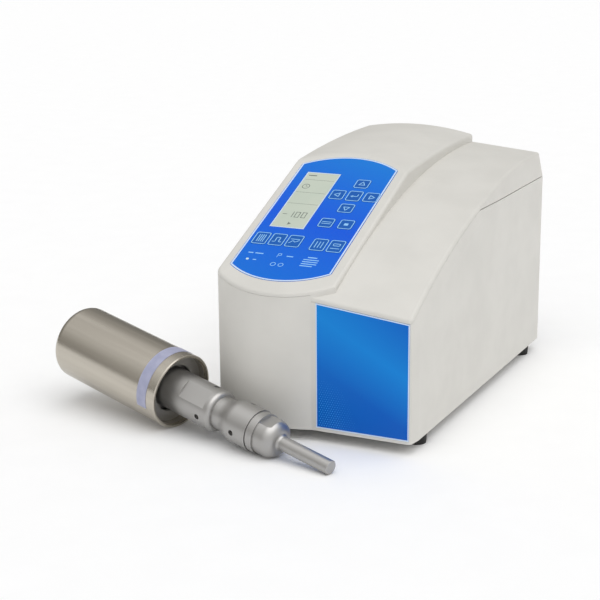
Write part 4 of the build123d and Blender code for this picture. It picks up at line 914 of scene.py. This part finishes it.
@dataclass
class Display:
    """The liquid crystal with its rim and plain segments; millimetres along the keypad's face."""

    # The plane of the keypad's face.
    place: Matrix
    middle_x: float = 37.7
    middle_y: float = 130.9
    proud: float = 0.2
    ink: float = 0.02
    rim: float = 0.9
    rim_margin: float = 0.025
    rim_corner: float = 0.4
    segment: float = 0.75
    # Heights on the keypad's face; places across it start from the window's left edge.
    rules: tuple[float, ...] = (163.6, 142.5, 124.0)
    rule_inset: float = 2.4
    rule_line: float = 0.35
    header: tuple[Point, Point] = ((4.0, 170.6), (11.0, 170.6))
    header_line: float = 1.4
    dial: Point = (8.0, 152.4)
    dial_radius: float = 3.9
    dial_line: float = 0.7
    long_hand: float = 2.2
    short_hand: float = 1.6
    hand_line: float = 0.5
    text: str = "100"
    text_start: Point = (12.6, 106.6)
    digit_pitch: float = 6.6
    digit_half: Point = (1.9, 4.0)
    dash: tuple[Point, Point] = ((4.6, 106.6), (8.4, 106.6))
    arrow: tuple[Point, ...] = ((15.6, 90.2), (18.8, 92.4), (15.6, 94.6))

    def build(self) -> None:
        """Dresses the window and builds its rim and its segments."""
        # Reflective liquid crystal laminated behind acrylic: grey-green under a clear, glossy face.
        crystal = Finish(
            "liquid_crystal_grey_green", "#C4CDBD", "#BCC8B8", 0.35, coat=1.0, coat_roughness=0.05,
            grain=3.0,
        )
        dress(crystal, "display_window", "display_module")
        inverse = self.place.inverted()
        corners = [inverse @ v.co for v in frame["nodes"]["display_window"].data.vertices]
        width = (max(c.x for c in corners) - min(c.x for c in corners)) / MM
        height = (max(c.y for c in corners) - min(c.y for c in corners)) / MM
        middle = (self.middle_x, self.middle_y)
        mesh = bmesh.new()
        gap, inset = 2 * self.rim_margin, 2 * self.rim
        outer = rounded(width - gap, height - gap, self.rim_corner, middle, 2)
        inner = rounded(width - inset, height - inset, self.rim_corner, middle, 2)
        layer = Layer(self.place, self.proud, self.proud + self.ink)
        frame_of(mesh, outer, inner, layer)
        piece_from(mesh, "display_rim", "housing", "window_acrylic", Palette.border_ink)
        self.build_segments(layer, width)

    def build_segments(self, layer: Layer, width: float) -> None:
        """Builds the dark segments: rules, a dial, digits and a small arrow.

        Args:
            layer: the layer that they fill.
            width: the window's width.
        """
        left = self.middle_x - width / 2

        def placed(path: Sequence[Point]) -> list[Point]:
            """Gives a path measured from the window's left edge its place on the keypad."""
            return [(left + x, y) for x, y in path]

        mesh = bmesh.new()
        for y in self.rules:
            rule = placed([(self.rule_inset, y), (width - self.rule_inset, y)])
            stroke(mesh, rule, self.rule_line, layer)
        stroke(mesh, placed(self.header), self.header_line, layer)
        dial = placed([self.dial])[0]
        face = circle(self.dial_radius - self.dial_line, dial)
        frame_of(mesh, circle(self.dial_radius, dial), face, layer)
        for tip in ((dial[0], dial[1] + self.long_hand), (dial[0] + self.short_hand, dial[1])):
            stroke(mesh, [dial, tip], self.hand_line, layer)
        for step, digit in enumerate(self.text):
            middle = (left + self.text_start[0] + self.digit_pitch * step, self.text_start[1])
            self.add_digit(mesh, digit, middle, layer)
        stroke(mesh, placed(self.dash), self.segment, layer)
        slab(mesh, placed(self.arrow), layer)
        # Switched liquid crystal: dark grey-green under the same glossy face.
        dark = Finish(
            "liquid_crystal_segment", "#59645C", "#626D64", 0.3, coat=1.0, coat_roughness=0.05, grain=3.0
        )
        piece_from(mesh, "display_segments", "housing", "window_acrylic", dark)

    def add_digit(self, mesh: Shape, value: str, middle: Point, layer: Layer) -> None:
        """Adds a seven-segment digit.

        Args:
            mesh: the bmesh that gets it.
            value: the digit, 0 or 1.
            middle: its middle.
            layer: the layer that it fills.
        """
        sides = [[(1, 1), (1, 0)], [(1, 0), (1, -1)]]
        if value == "0":
            sides += [[(-x, y) for x, y in side] for side in sides]
            sides += [[(-1, height), (1, height)] for height in (1, -1)]
        half_width, half_height = self.digit_half
        for side in sides:
            path = [(middle[0] + x * half_width, middle[1] + y * half_height) for x, y in side]
            stroke(mesh, path, self.segment, layer)


@dataclass
class Handpiece:
    """The converter's case, its front driver, the horn and the tip."""

    axis_joint: str = "horn_unscrew"

    def dress(self) -> None:
        """Gives every node of the handpiece its finish."""
        axis = tuple(Vector(joint_of(self.axis_joint)["axis"]).normalized())
        # Drawn stainless tube, polished and then handled: satin with faint lines along it.
        tube = DrawnFinish(
            "polished_stainless_tube", "#C3BDB2", "#B4AEA3", 0.25, 0.05, metallic=1.0, grain=1.4,
            grain_depth=0.0012, mottle_size=14.0, axis=axis, streak=30.0,
        )
        # Turned titanium alloy: greyer than steel, with rings left by the tool.
        titanium = TurnedFinish(
            "turned_titanium", "#B3AFA8", "#A19D96", 0.24, 0.07, metallic=1.0, grain=0.9,
            grain_depth=0.006, mottle_size=2.4, axis=axis, streak=60.0,
        )
        dress(tube, "handpiece_case")
        dress(titanium, "front_driver", "horn", "tip", "retaining_ring")
        dress(Palette.zinc, "tail_mass", "stack_bolt", "horn_stud")
        dress(Palette.nickel, "case_socket")
        # Printed film wrapped on the case: a pale lilac band with a satin face.
        lilac = Finish(
            "printed_film_lilac", "#9FA2BC", "#ACAEC6", 0.4, specular=0.3, grain=0.8, mottle_size=6.0
        )
        dress(lilac, "case_band")
        # Fired ceramic: matt cream grey.
        ceramic = Finish("fired_ceramic", "#A39F93", "#99958A", 0.65, grain=0.6, grain_depth=0.03)
        dress(ceramic, "piezo_rings")
        # Rolled copper strip: bright and reddish.
        copper = Finish("copper_strip", "#C88A5A", "#B87C4E", 0.3, metallic=1.0, grain=0.8)
        dress(copper, "electrodes")
        LOG.info("handpiece dressed")


@dataclass
class RearPanel:
    """What the rear panel carries, in millimetres: the fan with its guard, sockets, inlet and switch."""

    wire: float = 0.9
    ring_radii: tuple[float, ...] = (12.0, 20.0, 28.0, 36.0)
    hole_spacing: float = 71.5
    lug_radius: float = 4.6
    lug_hole_radius: float = 2.1
    wire_sides: int = 12
    ring_runs: int = 72
    sharp_angle: float = 40.0
    # The rocker's face is two flats that meet at the pivot, each leaning half of its travel.
    rocker_lean: float = 10.0
    rocker_rise: float = 3.0
    mark_ink: float = 0.03
    mark_line: float = 0.7
    line_mark: tuple[Point, Point] = ((0.0, 3.4), (0.0, 6.4))
    ring_mark: Point = (0.0, -4.9)
    ring_mark_radii: Point = (1.7, 1.1)

    def build(self) -> None:
        """Dresses the rear's nodes and builds the wire guard and the switch's marks."""
        dress(Palette.nylon, "fan_frame", "fan_rotor", "power_inlet", "power_switch", "power_rocker")
        dress(Palette.nickel, "inlet_pins", "output_socket", "remote_socket")
        # Fluoropolymer insulator: waxy white.
        fluoropolymer = Finish("fluoropolymer_white", "#DAD8D0", "#D2D0C8", 0.4, grain=1.0)
        dress(fluoropolymer, "output_core")
        self.build_guard()
        self.build_rocker_marks()

    def build_guard(self) -> None:
        """Builds the guard from round wire in place of its CAD node."""
        low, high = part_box("fan_guard")
        middle = (low + high) / 2
        place = plane_matrix(middle, Vector((1, 0, 0)), Vector((0, 1, 0)))
        mesh = bmesh.new()
        for radius in self.ring_radii:
            self.add_wire_ring(mesh, radius * MM)
        reach = self.hole_spacing / math.sqrt(2) - self.lug_radius + self.wire / 2
        start = self.ring_radii[0]
        for turn in (45, 135, 225, 315):
            spoke = bmesh.ops.create_cone(
                mesh,
                segments=self.wire_sides,
                radius1=self.wire * MM,
                radius2=self.wire * MM,
                depth=(reach - start) * MM,
                cap_ends=True,
            )
            out = Matrix.Translation(((start + reach) / 2 * MM, 0, 0))
            lay = Matrix.Rotation(math.radians(turn), 4, "Z") @ out @ Matrix.Rotation(math.pi / 2, 4, "Y")
            bmesh.ops.transform(mesh, matrix=lay, verts=spoke["verts"])
        bmesh.ops.transform(mesh, matrix=place, verts=mesh.verts)
        half = self.hole_spacing / 2
        for x in (-half, half):
            for y in (-half, half):
                outer = circle(self.lug_radius, (x, y))
                inner = circle(self.lug_hole_radius, (x, y))
                frame_of(mesh, outer, inner, Layer(place, -self.wire, self.wire))
        # Chromium plate on steel wire: bright, with sharp highlights.
        chrome = Finish(
            "chromium_plate", "#C9CBCC", "#C0C3C5", 0.14, metallic=1.0, grain=1.5, mottle_size=5.0
        )
        guard = piece_from(mesh, "fan_guard_wire", "housing", "guard_wire", chrome)
        for polygon in guard.data.polygons:
            polygon.use_smooth = True
        guard.data.set_sharp_from_angle(angle=math.radians(self.sharp_angle))
        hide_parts("fan_guard")

    def add_wire_ring(self, mesh: Shape, radius: float) -> None:
        """Adds one ring of round wire, spun about the guard's middle.

        Args:
            mesh: the bmesh that gets it.
            radius: the ring's radius in metres.
        """
        section = bmesh.ops.create_circle(
            mesh, cap_ends=False, segments=self.wire_sides, radius=self.wire * MM
        )
        lay = Matrix.Translation((radius, 0, 0)) @ Matrix.Rotation(math.pi / 2, 4, "X")
        bmesh.ops.transform(mesh, matrix=lay, verts=section["verts"])
        edges = list({edge for vert in section["verts"] for edge in vert.link_edges})
        bmesh.ops.spin(
            mesh,
            geom=section["verts"] + edges,
            cent=(0, 0, 0),
            axis=(0, 0, 1),
            angle=2 * math.pi,
            steps=self.ring_runs,
            use_merge=True,
        )
        bmesh.ops.recalc_face_normals(mesh, faces=mesh.faces)

    def build_rocker_marks(self) -> None:
        """Prints the line and the ring of the power switch on its rocker."""
        pivot = Vector(joint_of("power_rocker_tip")["pos_m"])
        lean = math.radians(self.rocker_lean)
        middle = pivot + Vector((0, math.cos(lean), -math.sin(lean))) * (self.rocker_rise * MM)
        across = Vector((-1, 0, 0))
        sunk = plane_matrix(middle, across, Vector((0, math.cos(2 * lean), -math.sin(2 * lean))))
        raised = plane_matrix(middle, across, Vector((0, 1, 0)))
        outer, inner = (circle(radius, self.ring_mark) for radius in self.ring_mark_radii)
        mesh = bmesh.new()
        stroke(mesh, self.line_mark, self.mark_line, Layer(sunk, 0.0, self.mark_ink))
        frame_of(mesh, outer, inner, Layer(raised, 0.0, self.mark_ink))
        # White ink stamped on the nylon: dull, slightly warm.
        ink = Finish("pad_print_white", "#E4E4E0", "#DCDCD8", 0.4, grain=0.8)
        piece_from(mesh, "rocker_marks", "rocker", "moulded_black", ink)


@dataclass
class Studio:
    """Floor, lamp, room and the camera at the photograph's viewpoint."""

    # The generator's front left bottom corner.
    corner: Vector
    # Millimetres from that corner, and degrees.
    camera_place: Triple = (638.4, -1127.0, 455.1)
    yaw: float = 25.979
    pitch: float = 15.127
    roll: float = -0.467
    focal_pixels: float = 1518.11
    picture: float = 600.0
    sensor: float = 36.0
    # Metres.
    view_reach: float = 50.0
    floor_half: float = 12.0
    # The room's and the lamp's light; directions point towards each.
    room_light: float = 0.62
    bright_wall: Triple = (0.25, -0.35, 0.9)
    lamp_direction: Triple = (0.28, -0.18, 0.94)
    lamp_strength: float = 1.25
    # How wide the lamp looks, in degrees.
    lamp_angle: float = 70.0
    # How bright the room looks to what mirrors it, by how near a direction is to the bright wall.
    walls: tuple[tuple[float, tuple[float, float, float, float]], ...] = (
        (0.25, (0.14, 0.135, 0.125, 1)),
        (0.6, (0.42, 0.41, 0.39, 1)),
        (0.95, (1.25, 1.25, 1.25, 1)),
    )

    def build(self) -> None:
        """Builds the camera, the floor and the light."""
        self.add_camera()
        self.add_floor()
        self.add_world()
        self.add_sun()
        bpy.context.scene.view_settings.view_transform = "Standard"

    def add_camera(self) -> None:
        """Adds the camera as fitted to the photograph."""
        yaw, pitch, roll = (math.radians(v) for v in (self.yaw, self.pitch, self.roll))
        level = Vector((-math.sin(yaw), math.cos(yaw), 0))
        forward = level * math.cos(pitch) - Vector((0, 0, math.sin(pitch)))
        right = Vector((math.cos(yaw), math.sin(yaw), 0))
        up = right.cross(forward)
        turned_right = right * math.cos(roll) + up * math.sin(roll)
        turned_up = up * math.cos(roll) - right * math.sin(roll)
        data = bpy.data.cameras.new("camera")
        data.sensor_width = self.sensor
        data.lens = self.focal_pixels / self.picture * self.sensor
        data.clip_end = self.view_reach
        camera = bpy.data.objects.new("camera", data)
        place = Matrix((turned_right, turned_up, -forward)).transposed().to_4x4()
        place.translation = self.corner + Vector(self.camera_place) * MM
        camera.matrix_world = place
        bpy.context.scene.collection.objects.link(camera)
        bpy.context.scene.camera = camera

    def add_floor(self) -> None:
        """Adds the pale floor."""
        mesh = bmesh.new()
        bmesh.ops.create_grid(mesh, x_segments=1, y_segments=1, size=self.floor_half)
        data = bpy.data.meshes.new("floor")
        mesh.to_mesh(data)
        mesh.free()
        floor = bpy.data.objects.new("floor", data)
        bpy.context.scene.collection.objects.link(floor)
        # White background paper: flat and matt, so only the shadow shows on it.
        paper = Finish("paper_white", "#FFFFFF", "#FEFEFE", 1.0, specular=0.0, grain=4.0)
        data.materials.append(paper.material())

    def add_world(self) -> None:
        """Adds the room: soft even light, with brighter and darker walls for what reflects it."""
        world = bpy.data.worlds.new("room")
        world.use_nodes = True
        tree = world.node_tree
        tree.nodes.clear()
        direction = add_node(tree, "ShaderNodeTexCoord").outputs["Generated"]
        nearness = self.toward(tree, direction, self.bright_wall)
        walls = add_node(tree, "ShaderNodeValToRGB", {"Fac": nearness})
        stops = walls.color_ramp.elements
        for stop, (position, _) in zip(stops, (self.walls[0], self.walls[-1])):
            stop.position = position
        stops.new(self.walls[1][0])
        for stop, (_, colour) in zip(stops, self.walls):
            stop.color = colour
        even = add_node(tree, "ShaderNodeBackground", {"Color": WHITE, "Strength": self.room_light})
        seen = add_node(tree, "ShaderNodeBackground", {"Color": WHITE})
        mirrored = add_node(tree, "ShaderNodeBackground", {"Color": walls.outputs["Color"]})
        ray = add_node(tree, "ShaderNodeLightPath")
        lit = add_node(
            tree,
            "ShaderNodeMixShader",
            {
                0: ray.outputs["Is Glossy Ray"],
                1: even.outputs["Background"],
                2: mirrored.outputs["Background"],
            },
        )
        shown = add_node(
            tree,
            "ShaderNodeMixShader",
            {0: ray.outputs["Is Camera Ray"], 1: lit.outputs["Shader"], 2: seen.outputs["Background"]},
        )
        add_node(tree, "ShaderNodeOutputWorld", {"Surface": shown.outputs["Shader"]})
        bpy.context.scene.world = world

    def toward(self, tree: Tree, direction: Socket, aim: Triple) -> Socket:
        """Gives 1 for directions towards an aim and 0 for those away from it.

        Args:
            tree: the world's node tree.
            direction: the direction looked in.
            aim: the direction aimed at.

        Returns:
            The value.
        """
        inputs = {0: direction, 1: Vector(aim).normalized()}
        same = add_node(tree, "ShaderNodeVectorMath", inputs, operation="DOT_PRODUCT").outputs["Value"]
        made = add_node(tree, "ShaderNodeMath", {0: same, 1: 0.5, 2: 0.5}, operation="MULTIPLY_ADD")
        return made.outputs["Value"]

    def add_sun(self) -> None:
        """Adds the wide soft lamp above, a little to the right and in front."""
        data = bpy.data.lights.new("soft_lamp", "SUN")
        data.energy = self.lamp_strength
        data.angle = math.radians(self.lamp_angle)
        lamp = bpy.data.objects.new("soft_lamp", data)
        lamp.rotation_euler = (-Vector(self.lamp_direction)).to_track_quat("-Z", "Y").to_euler()
        bpy.context.scene.collection.objects.link(lamp)


def main() -> None:
    """Builds the dressed object in order."""
    logging.basicConfig(level=logging.INFO, format="%(message)s")
    housing = Housing()
    corner = corner_of_unit(housing.depth)
    housing.dress()
    FrontLabel(corner).build()
    keypad = Keypad(corner)
    keypad.build()
    Display(keypad.place).build()
    Handpiece().dress()
    RearPanel().build()
    Studio(corner).build()


if __name__ == "__main__":
    main()
